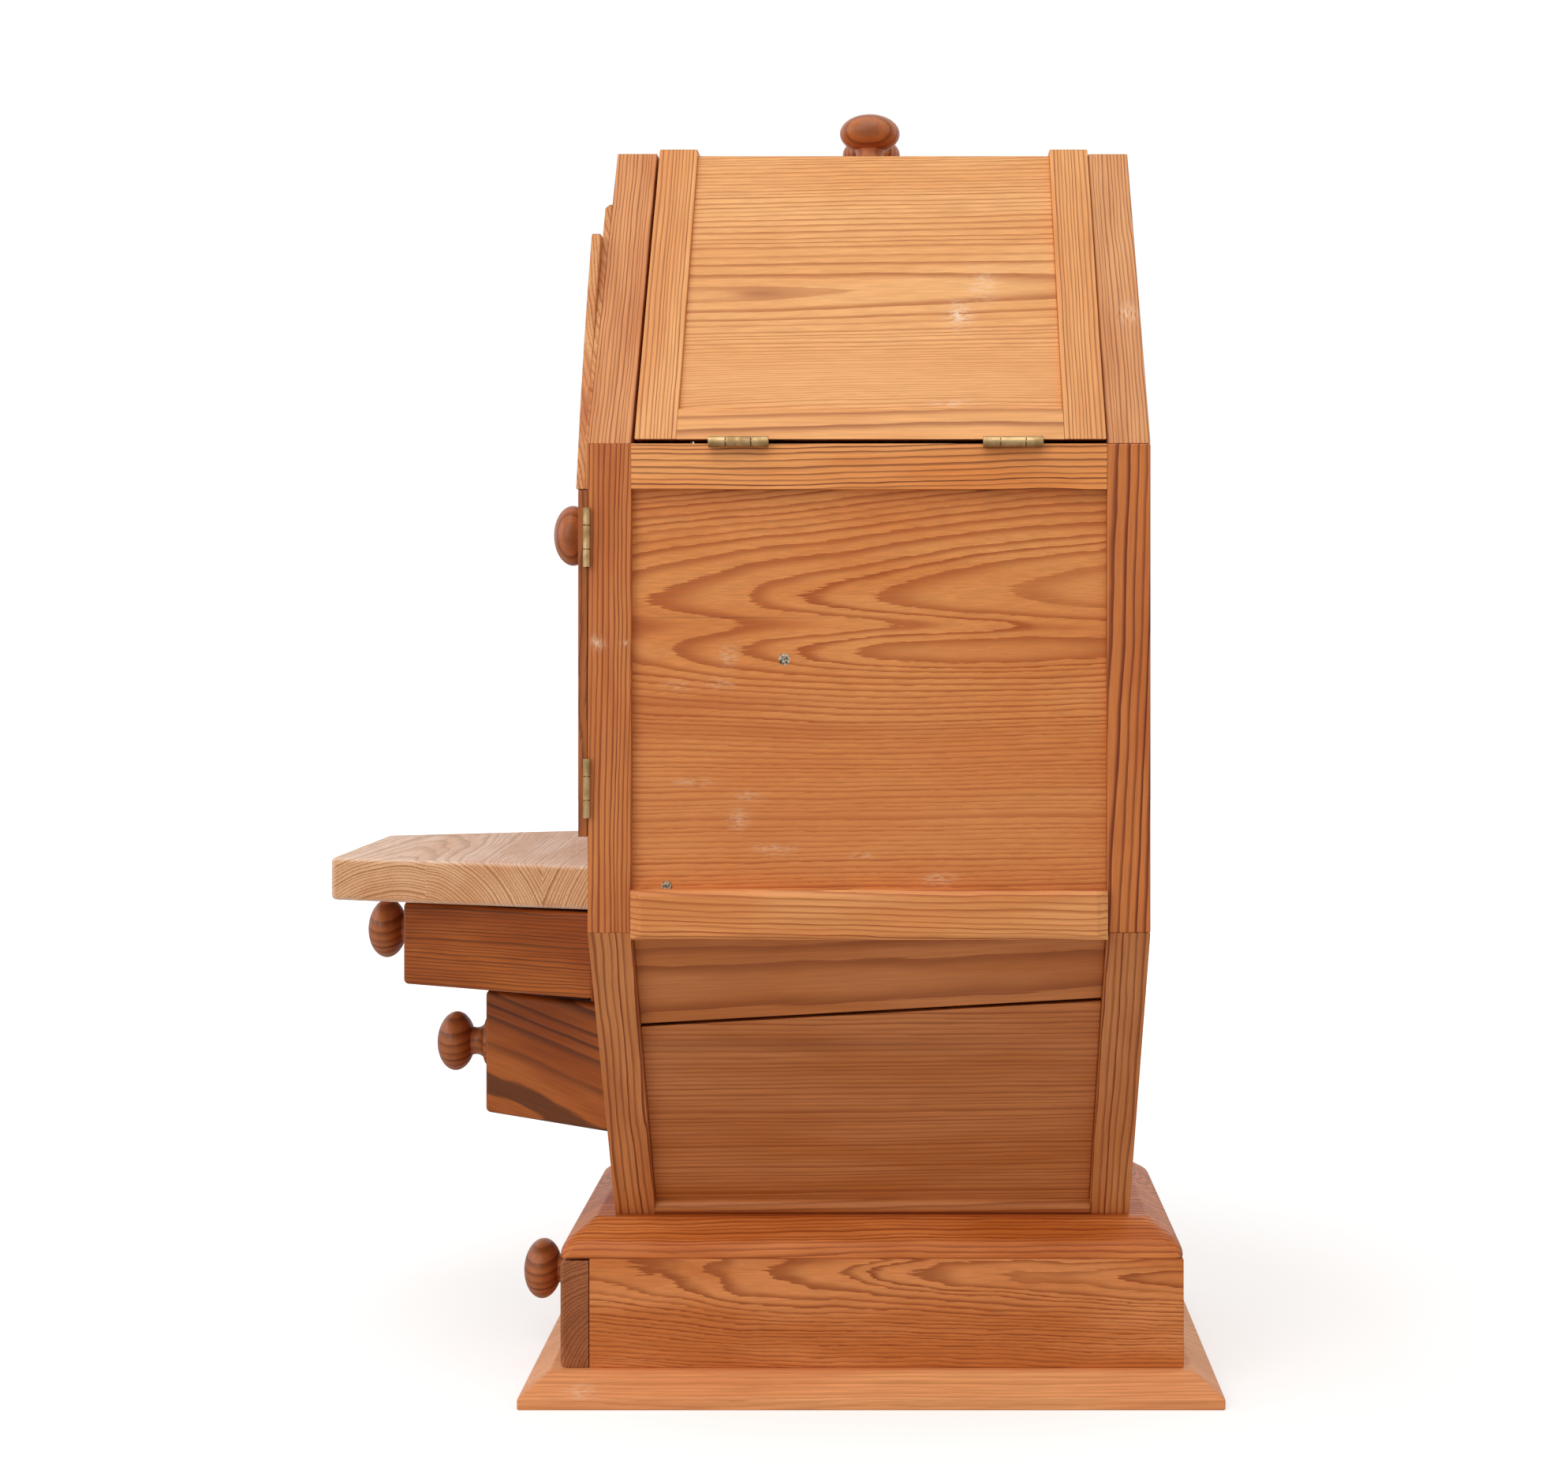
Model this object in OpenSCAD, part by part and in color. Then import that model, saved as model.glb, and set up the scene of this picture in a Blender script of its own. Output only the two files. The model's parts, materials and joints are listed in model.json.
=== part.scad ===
// Pine dry bar: a long barrel-shaped cabinet on a stepped base. Both leaning upper sides are
// lids, the front has a pair of doors over a projecting counter, and two bay-fronted drawers
// hang below the counter. A third drawer is in the base.
// Front is -Y, right is +X, up is +Z. The origin is the centre of the underside.

/* [Base] */
// Height of the plinth board
plinth_h = 22; // [14:1:40]
// Width of the bevel round the plinth board
plinth_bevel = 20; // [8:1:30]
// Height of the upright foot of the plinth board's edge
plinth_edge = 8; // [3:1:12]
// Flat ledge of the plinth round the base case
plinth_ledge = 6.5; // [2:0.5:20]
// Width of the base case
case_w = 250; // [220:1:360]
// Depth of the base case over its drawer front
case_d = 448.5; // [420:0.5:560]
// Height of the base case
case_h = 78.4; // [60:0.2:140]
// Thickness of the base case boards
case_t = 16; // [10:1:24]
// Height of the cap board on the base case
cap_h = 24.4; // [18:0.2:40]
// Width of the bevel round the cap board
cap_bevel = 23; // [8:1:26]
// Height of the upright foot of the cap board's edge
cap_edge = 9; // [3:1:14]

/* [Body] */
// Depth of the body over its front and back posts
body_d = 376; // [320:1:440]
// Width of the body across its upright middle
body_w = 490; // [440:1:600]
// Width of the flat top
top_w = 158; // [140:1:220]
// Width of the body where it stands on the cap board
foot_w = 186; // [170:1:198]
// Height of the leaning lower sides
lower_h = 225; // [215:1:300]
// Height of the upright middle sides
middle_h = 327; // [300:1:420]
// Height of the leaning upper sides
upper_h = 227; // [200:1:300]
// Width of the posts on the side faces
post_w = 29; // [20:1:45]
// Thickness of the posts and of the side rails
post_t = 22; // [18:1:30]
// Height of the side rails below the lids
rail_h = 30; // [15:1:45]
// Thickness of the side boards, which stand back from the faces of the posts
side_t = 15; // [8:1:17]
// Slope of the open split between the two lower side boards, rise over the width of the side
split_rise = 20; // [0:1:40]
// Width of the open split between the two lower side boards
split_gap = 2.4; // [0.5:0.1:5]
// Height of the middle of the split above the foot of the body
split_up = 164; // [100:1:190]
// Height of the ledge strips that the hanging lids rest against
ledge_h = 33; // [20:1:50]
// Thickness of the ledge strips
ledge_t = 15; // [8:1:17]
// Chamfer of the ledge strips
ledge_chamfer = 3; // [1:0.5:6]
// How far the ledge strips reach below the bend of the body
ledge_drop = 4; // [0:1:12]
// Height of the half-round strips at the foot of the sides
foot_strip_h = 11.5; // [6:0.5:16]
// Thickness of the back panel
back_t = 12; // [6:1:18]
// How far the back panel stands in from the back of the posts
back_inset = 6; // [0:1:12]

/* [Interior] */
// Height of the shelf above the upper face of the deck
shelf_up = 139; // [100:1:200]
// Thickness of the shelf
shelf_t = 15; // [10:1:22]
// How far the shelf stands back from the front of the posts
shelf_setback = 8; // [2:1:30]
// Width of the bar that the two lids close on
ridge_w = 28; // [16:1:40]
// Height of the bar that the two lids close on
ridge_h = 20; // [12:1:40]
// Height of the bars across the top at the front and the back
top_bar_h = 22; // [18:1:34]
// Thickness of the drawer runners
runner_t = 12; // [6:1:16]
// Width of the drawer runners at their foot
runner_w = 25; // [22:1:32]

/* [Counter] */
// Height of the counter's upper face above the bend of the body
counter_up = 36.2; // [34:0.2:60]
// Thickness of the counter and of the deck behind it
counter_t = 31; // [22:0.5:36]
// How far the counter reaches in front of the posts
counter_reach = 208; // [150:1:260]
// Width of the counter at its front edge
counter_tip_w = 192; // [120:1:260]
// Depth of the counter's tongue in the deck
counter_tongue = 58; // [30:1:90]
// Radius of the counter's front corners
counter_corner_r = 7; // [2:1:20]

/* [Doors] */
// Height of the doors
door_h = 231.7; // [180:0.1:280]
// Thickness of the doors
door_t = 6; // [4:0.5:12]
// Height of the sill rail below the doors
sill_h = 38; // [30:1:60]
// Thickness of the sill rail
sill_t = 20; // [12:1:26]
// How far the doors overlap the sill rail and the panel above them
door_lap = 10; // [4:1:20]
// Height of the door knobs below the top of the doors
door_knob_drop = 22.5; // [18:0.5:60]
// Distance of the door knobs from the middle of the front
door_knob_x = 47; // [26:1:80]

/* [Fascia] */
// Thickness of the panel behind the fascia
front_panel_t = 12; // [6:1:18]
// Height of the backing board of the fascia
backing_h = 214.5; // [190:0.5:226]
// Thickness of the backing board at its foot
backing_foot_t = 1.2; // [0.8:0.1:3]
// Thickness of the backing board at its head
backing_head_t = 5; // [3:0.1:10]
// Chamfer of the backing board's upper edge
backing_chamfer = 3; // [1:0.5:4]
// Height of the fascia board
fascia_h = 188.5; // [120:0.5:190]
// Thickness of the fascia board
fascia_t = 6.6; // [4:0.1:14]
// Width of the fascia board across its flat top
fascia_top_w = 281; // [200:1:320]
// How far the sides of the fascia board bulge beyond straight lines
fascia_bulge = 5; // [0.5:0.5:15]

/* [Lids] */
// Thickness of the lid frames
lid_frame_t = 18; // [14:1:22]
// How far the lid frames stand proud of the posts
lid_proud = 3; // [0:0.5:3.5]
// Width of the lid stiles and top strips
lid_stile_w = 28; // [18:1:40]
// Height of the lids' bottom rails
lid_rail_h = 21; // [14:1:40]
// Thickness of the lid panels
lid_panel_t = 9; // [5:1:12]
// How far the lid panels stand back from the faces of their frames
lid_panel_inset = 4.5; // [2:0.5:6]
// Gap between a lid and the front posts
lid_front_gap = 2.2; // [0.5:0.1:4]
// Gap between a lid and the back posts
lid_back_gap = 0.6; // [0.4:0.1:4]
// Distance of the lid knobs from the middle of the top
lid_knob_x = 40; // [27:1:50]
// How far the lid knobs stand in front of the middle of the lids
lid_knob_forward = 3.4; // [0:0.2:40]
// Length of a lid knob
lid_knob_len = 38.5; // [34:0.5:50]
// Height of a lid knob's foot
lid_knob_foot_h = 1.3; // [0.6:0.1:8]

/* [Lid hinges] */
// Length of a lid hinge
lid_hinge_len = 40; // [25:1:60]
// Length of the middle knuckle of a lid hinge
lid_knuckle_len = 17; // [8:1:22]
// Radius of a lid hinge's barrel
lid_barrel_r = 3.8; // [3:0.1:4.5]
// Radius of a lid hinge's pin
lid_pin_r = 1.6; // [1:0.1:2.2]
// Width of a lid hinge's leaf from the pin
lid_leaf_w = 19; // [12:1:24]
// Distance from the front posts to the middle of the front lid hinge
lid_hinge_front = 72; // [30:1:110]
// Distance from the back posts to the middle of the back lid hinge
lid_hinge_back = 63; // [30:1:110]

/* [Door hinges] */
// Length of a door hinge
door_hinge_len = 39.5; // [25:0.5:60]
// Length of the middle knuckle of a door hinge
door_knuckle_len = 16; // [8:1:20]
// Radius of a door hinge's barrel
door_barrel_r = 2.5; // [2:0.1:3.5]
// Radius of a door hinge's pin
door_pin_r = 1; // [0.6:0.1:1.4]
// Width of a door hinge's leaf from the pin
door_leaf_w = 14; // [8:1:18]
// Distance from the top of a door to its upper hinge
door_hinge_top = 12; // [6:0.5:60]
// Distance from the foot of a door to its lower hinge
door_hinge_foot = 12.8; // [6:0.2:60]

/* [Hinge metal] */
// Thickness of the lid hinges' leaves
lid_leaf_t = 1.1; // [0.8:0.1:1.4]
// Thickness of the door hinges' leaves
door_leaf_t = 0.8; // [0.5:0.1:1.2]
// Side gap between neighbouring knuckles
knuckle_gap = 0.6; // [0.4:0.1:1]
// Running clearance round a hinge pin
pin_clear = 0.05; // [0.02:0.01:0.1]

/* [Upper drawer] */
// Height of the upper bay drawer
drawer_1_h = 60.5; // [45:0.5:62]
// Gap between the counter and the upper bay drawer
drawer_1_gap = 2; // [1:0.5:6]
// Room between the upper drawer's box and the side walls at its foot
drawer_1_room = 19.7; // [12:0.1:40]
// How far the upper drawer's flat front laps over each side of its opening
drawer_1_lap = 12; // [6:0.5:16]
// How far the upper bay and the counter's root reach past each side of the box
drawer_1_bay_over = 3; // [0:0.5:6]
// Height of the upper drawer's box
drawer_1_box_h = 50; // [30:1:54]
// Width of the upper bay at its front
drawer_1_tip_w = 180; // [110:1:240]
// How far the upper bay reaches in front of the posts
drawer_1_reach = 156; // [100:1:190]

/* [Lower drawer] */
// Height of the lower bay drawer
drawer_2_h = 91.7; // [60:0.1:94]
// Gap between the two bay drawers
drawer_2_gap = 10.8; // [8:0.1:20]
// Room between the lower drawer's box and the side walls at its foot
drawer_2_room = 7.5; // [4:0.1:20]
// How far the lower bay laps over each side of its opening
drawer_2_lap = 18; // [6:0.5:22]
// Height of the lower drawer's box
drawer_2_box_h = 76; // [40:1:84]
// Width of the lower bay at its front
drawer_2_tip_w = 96; // [80:1:160]
// How far the lower bay reaches in front of the posts
drawer_2_reach = 103; // [70:1:150]

/* [Drawer boards] */
// Thickness of the flat fronts behind the bays
flat_front_t = 7; // [5:0.5:12]
// Thickness of the bay boards
bay_t = 16; // [8:1:20]
// Thickness of the drawer sides and backs
drawer_side_t = 10; // [6:1:14]
// Thickness of the drawer bottoms
drawer_floor_t = 6; // [3:1:10]
// Length of the bay drawers' boxes behind the face of the posts
drawer_len = 308; // [240:1:330]
// Thickness of the base drawer's front
base_front_t = 20.8; // [12:0.2:28]
// Room between the base drawer's box and the back of the case
base_drawer_room = 21.7; // [5:0.1:60]
// Height of the base drawer's box
base_box_h = 64; // [30:1:70]
// Gap above the base drawer's front
base_front_gap = 1.8; // [0.6:0.1:4]

/* [Knobs] */
// Length of a door or drawer knob
knob_len = 45; // [36:1:60]
// Radius of a knob's head
knob_head_r = 22.5; // [16:0.5:26]
// Half thickness of a knob's head
knob_head_half = 14.2; // [8:0.1:16]
// Radius of a knob's neck
knob_neck_r = 10.3; // [6:0.1:13]
// Radius of a knob's foot
knob_foot_r = 17.8; // [14:0.1:20]
// Height of a door or drawer knob's foot
knob_foot_h = 7.8; // [1:0.1:10]

/* [Screws] */
// Radius of the side screws' heads
screw_head_r = 3.9; // [3:0.1:5]
// Depth of the side screws' countersunk heads
screw_head_h = 2.8; // [2:0.1:4]
// Radius of the side screws' shanks
screw_r = 2; // [1.5:0.1:2.5]
// Length of the side screws
screw_len = 40; // [25:1:60]
// Distance of the shelf screws behind the front posts
shelf_screw_y = 102; // [40:1:200]
// Distance of the deck screws behind the front posts
deck_screw_y = 23; // [10:1:60]

/* [Fits] */
// Gap between a moving piece and what it passes
run_gap = 0.4; // [0.3:0.05:1]
// Gap between a drawer and what it slides on
slide_gap = 0.3; // [0.3:0.05:0.6]
// Gap between a drawer and the sides of its opening
opening_gap = 1; // [0.5:0.1:3]
// Width of a glued joint along a leaning board
glue_gap = 0.02; // [0.01:0.01:0.05]
// Clearance round a screw's shank
screw_clear = 0.1; // [0.05:0.05:0.3]

/* [Hidden] */
$fn = 48;
eps = 0.01;
arc_steps = 12;
// Angle that the hollow of a knob's neck runs past its narrowest place, and the step below the head
knob_curl = 20;
knob_step = 0.5;

foot_z = plinth_h + case_h + cap_h;
bend_z = foot_z + lower_h;
hinge_z = bend_z + middle_h;
top_z = hinge_z + upper_h;
front_y = -body_d / 2;
back_y = body_d / 2;
post_front_y = front_y + post_w;
post_back_y = back_y - post_w;
case_top_z = plinth_h + case_h;
case_front_y = -case_d / 2;
case_back_y = case_d / 2;
back_panel_y = back_y - back_inset - back_t;

lower_lean = (body_w - foot_w) / 2;
upper_lean = (body_w - top_w) / 2;
lower_len = norm([lower_lean, lower_h]);
upper_len = norm([upper_lean, upper_h]);

deck_top = bend_z + counter_up;
deck_foot = deck_top - counter_t;
shelf_z = deck_top + shelf_up;
sill_top = deck_top + sill_h;
door_foot = sill_top - door_lap;
door_top = door_foot + door_h;
front_panel_foot = door_top - door_lap;
fascia_foot = door_top + run_gap;
rail_top = hinge_z - lid_leaf_t / 2;
top_bar_foot = top_z - top_bar_h;

drawer_1_top = deck_foot - drawer_1_gap;
drawer_1_z = drawer_1_top - drawer_1_h;
drawer_2_top = drawer_1_z - drawer_2_gap;
drawer_2_z = drawer_2_top - drawer_2_h;
drawer_1_box_w = 2 * (lower_x(drawer_1_z, post_t) - drawer_1_room);
drawer_2_box_w = 2 * (lower_x(drawer_2_z, post_t) - drawer_2_room);
drawer_1_lip_w = drawer_1_box_w + 2 * drawer_1_lap;
drawer_1_root_w = drawer_1_box_w + 2 * drawer_1_bay_over;
drawer_2_root_w = drawer_2_box_w + 2 * drawer_2_lap;
counter_root_w = drawer_1_root_w;
opening_1_x = drawer_1_box_w / 2 + opening_gap;
opening_2_x = drawer_2_box_w / 2 + opening_gap;
base_drawer_z = plinth_h + slide_gap;
base_front_top = case_top_z - base_front_gap;
frame_t = 16;
divider_top = drawer_1_z - slide_gap;
divider_foot = drawer_2_top + opening_gap;
drawer_face_y = front_y - run_gap;

lid_leaf_gap = 1.6;
lid_axis_z = rail_top + lid_leaf_t + lid_leaf_gap / 8;
lid_foot_z = rail_top + 2 * lid_leaf_t + lid_leaf_gap;
lid_corner_x = body_w / 2 - (lid_foot_z - hinge_z) * upper_lean / upper_h
    + lid_proud * upper_len / upper_h;
lid_corner_run = sqrt(max(0, pow(lid_barrel_r + run_gap, 2) - pow(lid_foot_z - lid_axis_z, 2)));
lid_axis_x = max(body_w / 2 + lid_barrel_r + 2 * run_gap, lid_corner_x + lid_corner_run);
lid_y0 = post_front_y + lid_front_gap;
lid_y1 = post_back_y - lid_back_gap;
lid_rail_top = lid_foot_z + lid_rail_h;
lid_panel_out = lid_proud - lid_panel_inset;
door_axis_x = body_w / 2 + door_barrel_r + run_gap;
door_axis_y = front_y - run_gap / 2;
door_face_y = drawer_face_y - door_t;
door_edge_x = body_w / 2 - run_gap;
ridge_top = top_z + lid_proud - lid_frame_t - run_gap;
side_face_x = body_w / 2 - post_t + side_t;

// Half width at height z of a surface that lies inset behind the faces of the posts.
function lower_x(z, inset) = foot_w / 2 + (z - foot_z) * lower_lean / lower_h - inset * lower_len / lower_h;
function upper_x(z, inset) = body_w / 2 - (z - hinge_z) * upper_lean / upper_h - inset * upper_len / upper_h;
// Half width of a lid surface at height z, out of the slanted faces of the posts.
function lid_x(z, out) = upper_x(z, -out);

// Extrudes an outline of X and Z between two depths.
module across(points, y0, y1) {
    translate([0, y1, 0])
        rotate([90, 0, 0])
            linear_extrude(y1 - y0)
                polygon(points);
}

// Extrudes an outline of Y and Z between two widths.
module along(points, x0, x1) {
    translate([x0, 0, 0])
        rotate([90, 0, 90])
            linear_extrude(x1 - x0)
                polygon(points);
}

// Box between two corners.
module block(low, high) {
    translate(low)
        cube(high - low);
}

// The children on the right, and mirrored on the left.
module both_sides() {
    children();
    mirror([1, 0, 0])
        children();
}

// Board with upright edges and a bevel round its upper face.
module bevelled_board(w, d, z, h, edge, bevel) {
    side = [[-w / 2, z], [w / 2, z], [w / 2, z + edge], [w / 2 - bevel, z + h],
        [-w / 2 + bevel, z + h], [-w / 2, z + edge]];
    end = [[-d / 2, z], [d / 2, z], [d / 2, z + edge], [d / 2 - bevel, z + h],
        [-d / 2 + bevel, z + h], [-d / 2, z + edge]];
    intersection() {
        across(side, -d / 2, d / 2);
        along(end, -w / 2, w / 2);
    }
}

module plinth_board() {
    over = 2 * (plinth_bevel + plinth_ledge);
    color("#c98d5b")
        bevelled_board(case_w + over, case_d + over, 0, plinth_h, plinth_edge, plinth_bevel);
}

module cap_board() {
    color("#b8703f")
        bevelled_board(case_w, case_d, case_top_z, cap_h, cap_edge, cap_bevel);
}

module base_sides() {
    color("#b9713e")
        both_sides()
            block([case_w / 2 - case_t, case_front_y + base_front_t + run_gap, plinth_h],
                [case_w / 2, case_back_y, case_top_z]);
}

module base_back() {
    inner = case_w / 2 - case_t;
    color("#b9713e")
        block([-inner, case_back_y - case_t, plinth_h], [inner, case_back_y, case_top_z]);
}

// One corner post on the right, made of three pieces butted together.
module post_pieces(y0, y1) {
    lower = [[lower_x(foot_z, 0), foot_z], [lower_x(bend_z, 0), bend_z],
        [lower_x(bend_z, post_t), bend_z], [lower_x(foot_z, post_t), foot_z]];
    upper = [[upper_x(hinge_z, 0), hinge_z], [upper_x(top_z, 0), top_z],
        [upper_x(top_z, post_t), top_z], [upper_x(hinge_z, post_t), hinge_z]];
    across(lower, y0, y1);
    block([body_w / 2 - post_t, y0, bend_z], [body_w / 2, y1, hinge_z]);
    across(upper, y0, y1);
}

// Shallow seats for the door hinges' leaves in the face of a right front post.
module door_leaf_seats(y0, y1) {
    for (z = door_hinge_feet())
        block([door_axis_x - door_leaf_w, y0, z], [body_w / 2 + eps, y1, z + door_hinge_len]);
}

module front_post_shape() {
    difference() {
        post_pieces(front_y, post_front_y);
        door_leaf_seats(front_y - eps, front_y + door_leaf_t);
    }
}

module front_post_right() {
    color("#c47e45")
        front_post_shape();
}

module front_post_left() {
    color("#c47e45")
        mirror([1, 0, 0])
            front_post_shape();
}

module back_post_right() {
    color("#c47e45")
        post_pieces(post_back_y, back_y);
}

module back_post_left() {
    color("#c47e45")
        mirror([1, 0, 0])
            post_pieces(post_back_y, back_y);
}

module side_rails() {
    color("#d08a4f")
        both_sides()
            block([body_w / 2 - post_t, post_front_y, rail_top - rail_h],
                [body_w / 2, post_back_y, rail_top]);
}

// Places of the side screws on a middle panel, as depth and height.
function screw_places() = [
    [post_front_y + deck_screw_y, deck_top - counter_t / 5],
    [post_front_y + shelf_screw_y, shelf_z + shelf_t / 2]
];

// Room for the side screws, round their shanks and heads.
module screw_room(extra) {
    for (place = screw_places())
        translate([side_face_x, place[0], place[1]])
            rotate([0, -90, 0]) {
                translate([0, 0, -eps])
                    cylinder(h = screw_len + extra + eps, r = screw_r + extra);
                translate([0, 0, -eps])
                    cylinder(h = screw_head_h + eps, r1 = screw_head_r + extra, r2 = screw_r + extra);
            }
}

module middle_panels() {
    color("#c98048")
        both_sides()
            difference() {
                block([body_w / 2 - post_t, post_front_y, bend_z],
                    [side_face_x, post_back_y, rail_top - rail_h]);
                screw_room(screw_clear);
            }
}

module panel_screws() {
    color("#8d8f90")
        both_sides()
            for (place = screw_places())
                translate([side_face_x, place[0], place[1]])
                    rotate([0, -90, 0]) {
                        cylinder(h = screw_len, r = screw_r);
                        cylinder(h = screw_head_h, r1 = screw_head_r, r2 = screw_r);
                    }
}

// Strip with chamfered long edges and chamfered ends.
module ledge_strips() {
    x0 = side_face_x;
    x1 = side_face_x + ledge_t;
    z0 = bend_z - ledge_drop;
    z1 = z0 + ledge_h;
    c = ledge_chamfer;
    section = [[x0, z0], [x1 - c, z0], [x1, z0 + c], [x1, z1 - c], [x1 - c, z1], [x0, z1]];
    plan = [[x0, post_front_y], [x1 - c, post_front_y], [x1, post_front_y + c],
        [x1, post_back_y - c], [x1 - c, post_back_y], [x0, post_back_y]];
    color("#d79a60")
        both_sides()
            intersection() {
                across(section, post_front_y, post_back_y);
                translate([0, 0, z0])
                    linear_extrude(ledge_h)
                        polygon(plan);
            }
}

// A leaning lower side board between two slanted edges, cut level at the foot and the bend.
// Each edge is given by its height above the foot at the front post and at the back post.
module lower_board(foot_edge, head_edge) {
    outline = [[post_front_y, foot_edge[0]], [post_back_y, foot_edge[1]],
        [post_back_y, head_edge[1]], [post_front_y, head_edge[0]]];
    band = [[lower_x(foot_z, post_t - side_t), foot_z], [lower_x(bend_z, post_t - side_t), bend_z],
        [lower_x(bend_z, post_t), bend_z], [lower_x(foot_z, post_t), foot_z]];
    intersection() {
        across(band, post_front_y, post_back_y);
        along(outline, 0, body_w / 2);
    }
}

module lower_boards() {
    middle = foot_z + split_up;
    low = middle - split_rise / 2;
    high = middle + split_rise / 2;
    half = split_gap / 2;
    color("#b4703f")
        both_sides() {
            lower_board([foot_z, foot_z], [low - half, high - half]);
            lower_board([low + half, high + half], [bend_z, bend_z]);
        }
}

// Half-round strip along the foot of the side boards.
module foot_strips() {
    r = foot_strip_h / 2;
    inset = post_t - side_t;
    foot_x = lower_x(foot_z, inset);
    head_x = lower_x(foot_z + foot_strip_h, inset);
    room = [[foot_x, foot_z], [foot_x + foot_strip_h * 3, foot_z],
        [foot_x + foot_strip_h * 3, foot_z + foot_strip_h], [head_x, foot_z + foot_strip_h]];
    color("#a9633a")
        both_sides()
            intersection() {
                across(room, post_front_y, post_back_y);
                translate([(foot_x + head_x) / 2 + r / 4, post_back_y, foot_z + r])
                    rotate([90, 0, 0])
                        cylinder(h = post_back_y - post_front_y, r = r);
            }
}

module top_bars() {
    foot_x = upper_x(top_bar_foot, post_t);
    head_x = upper_x(top_z, post_t);
    outline = [[-foot_x, top_bar_foot], [foot_x, top_bar_foot], [head_x, top_z], [-head_x, top_z]];
    color("#c98648") {
        across(outline, front_y, post_front_y);
        across(outline, post_back_y, back_y);
    }
}

module ridge_bar() {
    color("#c98648")
        block([-ridge_w / 2, post_front_y, ridge_top - ridge_h],
            [ridge_w / 2, post_back_y, ridge_top]);
}

// Outline between the inner faces of the posts, from a height up to the top bars.
function upper_outline(z) = [
    [-body_w / 2 + post_t, z], [body_w / 2 - post_t, z], [body_w / 2 - post_t, hinge_z],
    [upper_x(hinge_z, post_t), hinge_z], [upper_x(top_bar_foot, post_t), top_bar_foot],
    [-upper_x(top_bar_foot, post_t), top_bar_foot], [-upper_x(hinge_z, post_t), hinge_z],
    [-body_w / 2 + post_t, hinge_z]
];

module front_upper_panel() {
    color("#c27b43")
        across(upper_outline(front_panel_foot), front_y, front_y + front_panel_t);
}

module back_panel() {
    foot_x = lower_x(foot_z, post_t + glue_gap);
    bend_x = lower_x(bend_z, post_t + glue_gap);
    lower = [[-body_w / 2 + post_t, bend_z], [-bend_x, bend_z], [-foot_x, foot_z],
        [foot_x, foot_z], [bend_x, bend_z], [body_w / 2 - post_t, bend_z]];
    upper = [for (i = [2 : 7]) upper_outline(bend_z)[i]];
    color("#b9753f")
        across(concat(lower, upper), back_panel_y, back_panel_y + back_t);
}

// Thickness of the fascia's backing board at a height above its foot.
function backing_at(up) = backing_foot_t + (backing_head_t - backing_foot_t) * up / backing_h;

module fascia_backing() {
    head = fascia_foot + backing_h;
    c = backing_chamfer;
    side = [[front_y, fascia_foot], [front_y, head], [front_y - backing_head_t + c, head],
        [front_y - backing_at(backing_h - c), head - c], [front_y - backing_foot_t, fascia_foot]];
    outline = [[-body_w / 2, fascia_foot], [body_w / 2, fascia_foot], [body_w / 2, hinge_z],
        [upper_x(head, 0), head], [-upper_x(head, 0), head], [-body_w / 2, hinge_z]];
    color("#c78147")
        intersection() {
            along(side, -body_w / 2, body_w / 2);
            across(outline, front_y - backing_head_t, front_y);
        }
}

// Points along the right edge of the fascia, a flat arc from its foot to its head.
function fascia_edge() = [
    for (i = [0 : arc_steps])
        let (t = i / arc_steps, run = (body_w - fascia_top_w) / 2)
            [body_w / 2 - run * t + fascia_bulge * sin(180 * t), fascia_foot + fascia_h * t]
];

module fascia() {
    head = fascia_foot + fascia_h;
    back = front_y - glue_gap;
    out = back - backing_at(fascia_h) - fascia_t;
    side = [[back - backing_foot_t, fascia_foot], [back - backing_at(fascia_h), head],
        [out, head], [back - backing_foot_t - fascia_t, fascia_foot]];
    right = fascia_edge();
    left = [for (i = [arc_steps : -1 : 0]) [-right[i][0], right[i][1]]];
    color("#b5683a")
        intersection() {
            along(side, -body_w / 2, body_w / 2);
            across(concat(right, left), out - 1, front_y);
        }
}

module door_sill() {
    inner = body_w / 2 - post_t;
    color("#c27b43")
        block([-inner, front_y, deck_top], [inner, front_y + sill_t, sill_top]);
}

// Boards round the two drawer openings, between the lower posts.
module drawer_frame() {
    y1 = front_y + frame_t;
    wall = post_t + glue_gap;
    foot_head = drawer_2_z - slide_gap;
    foot_board = [[-lower_x(foot_z, wall), foot_z], [lower_x(foot_z, wall), foot_z],
        [lower_x(foot_head, wall), foot_head], [-lower_x(foot_head, wall), foot_head]];
    divider = [[-lower_x(divider_foot, wall), divider_foot],
        [lower_x(divider_foot, wall), divider_foot],
        [lower_x(divider_top, wall), divider_top], [-lower_x(divider_top, wall), divider_top]];
    lower_filler = [[opening_2_x, foot_head], [lower_x(foot_head, wall), foot_head],
        [lower_x(divider_foot, wall), divider_foot], [opening_2_x, divider_foot]];
    upper_filler = [[opening_1_x, divider_top], [lower_x(divider_top, wall), divider_top],
        [lower_x(bend_z, wall), bend_z], [lower_x(bend_z, wall), deck_foot],
        [opening_1_x, deck_foot]];
    color("#a9673a") {
        across(foot_board, front_y, y1);
        across(divider, front_y, y1);
        both_sides() {
            across(lower_filler, front_y, y1);
            across(upper_filler, front_y, y1);
        }
    }
}

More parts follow.
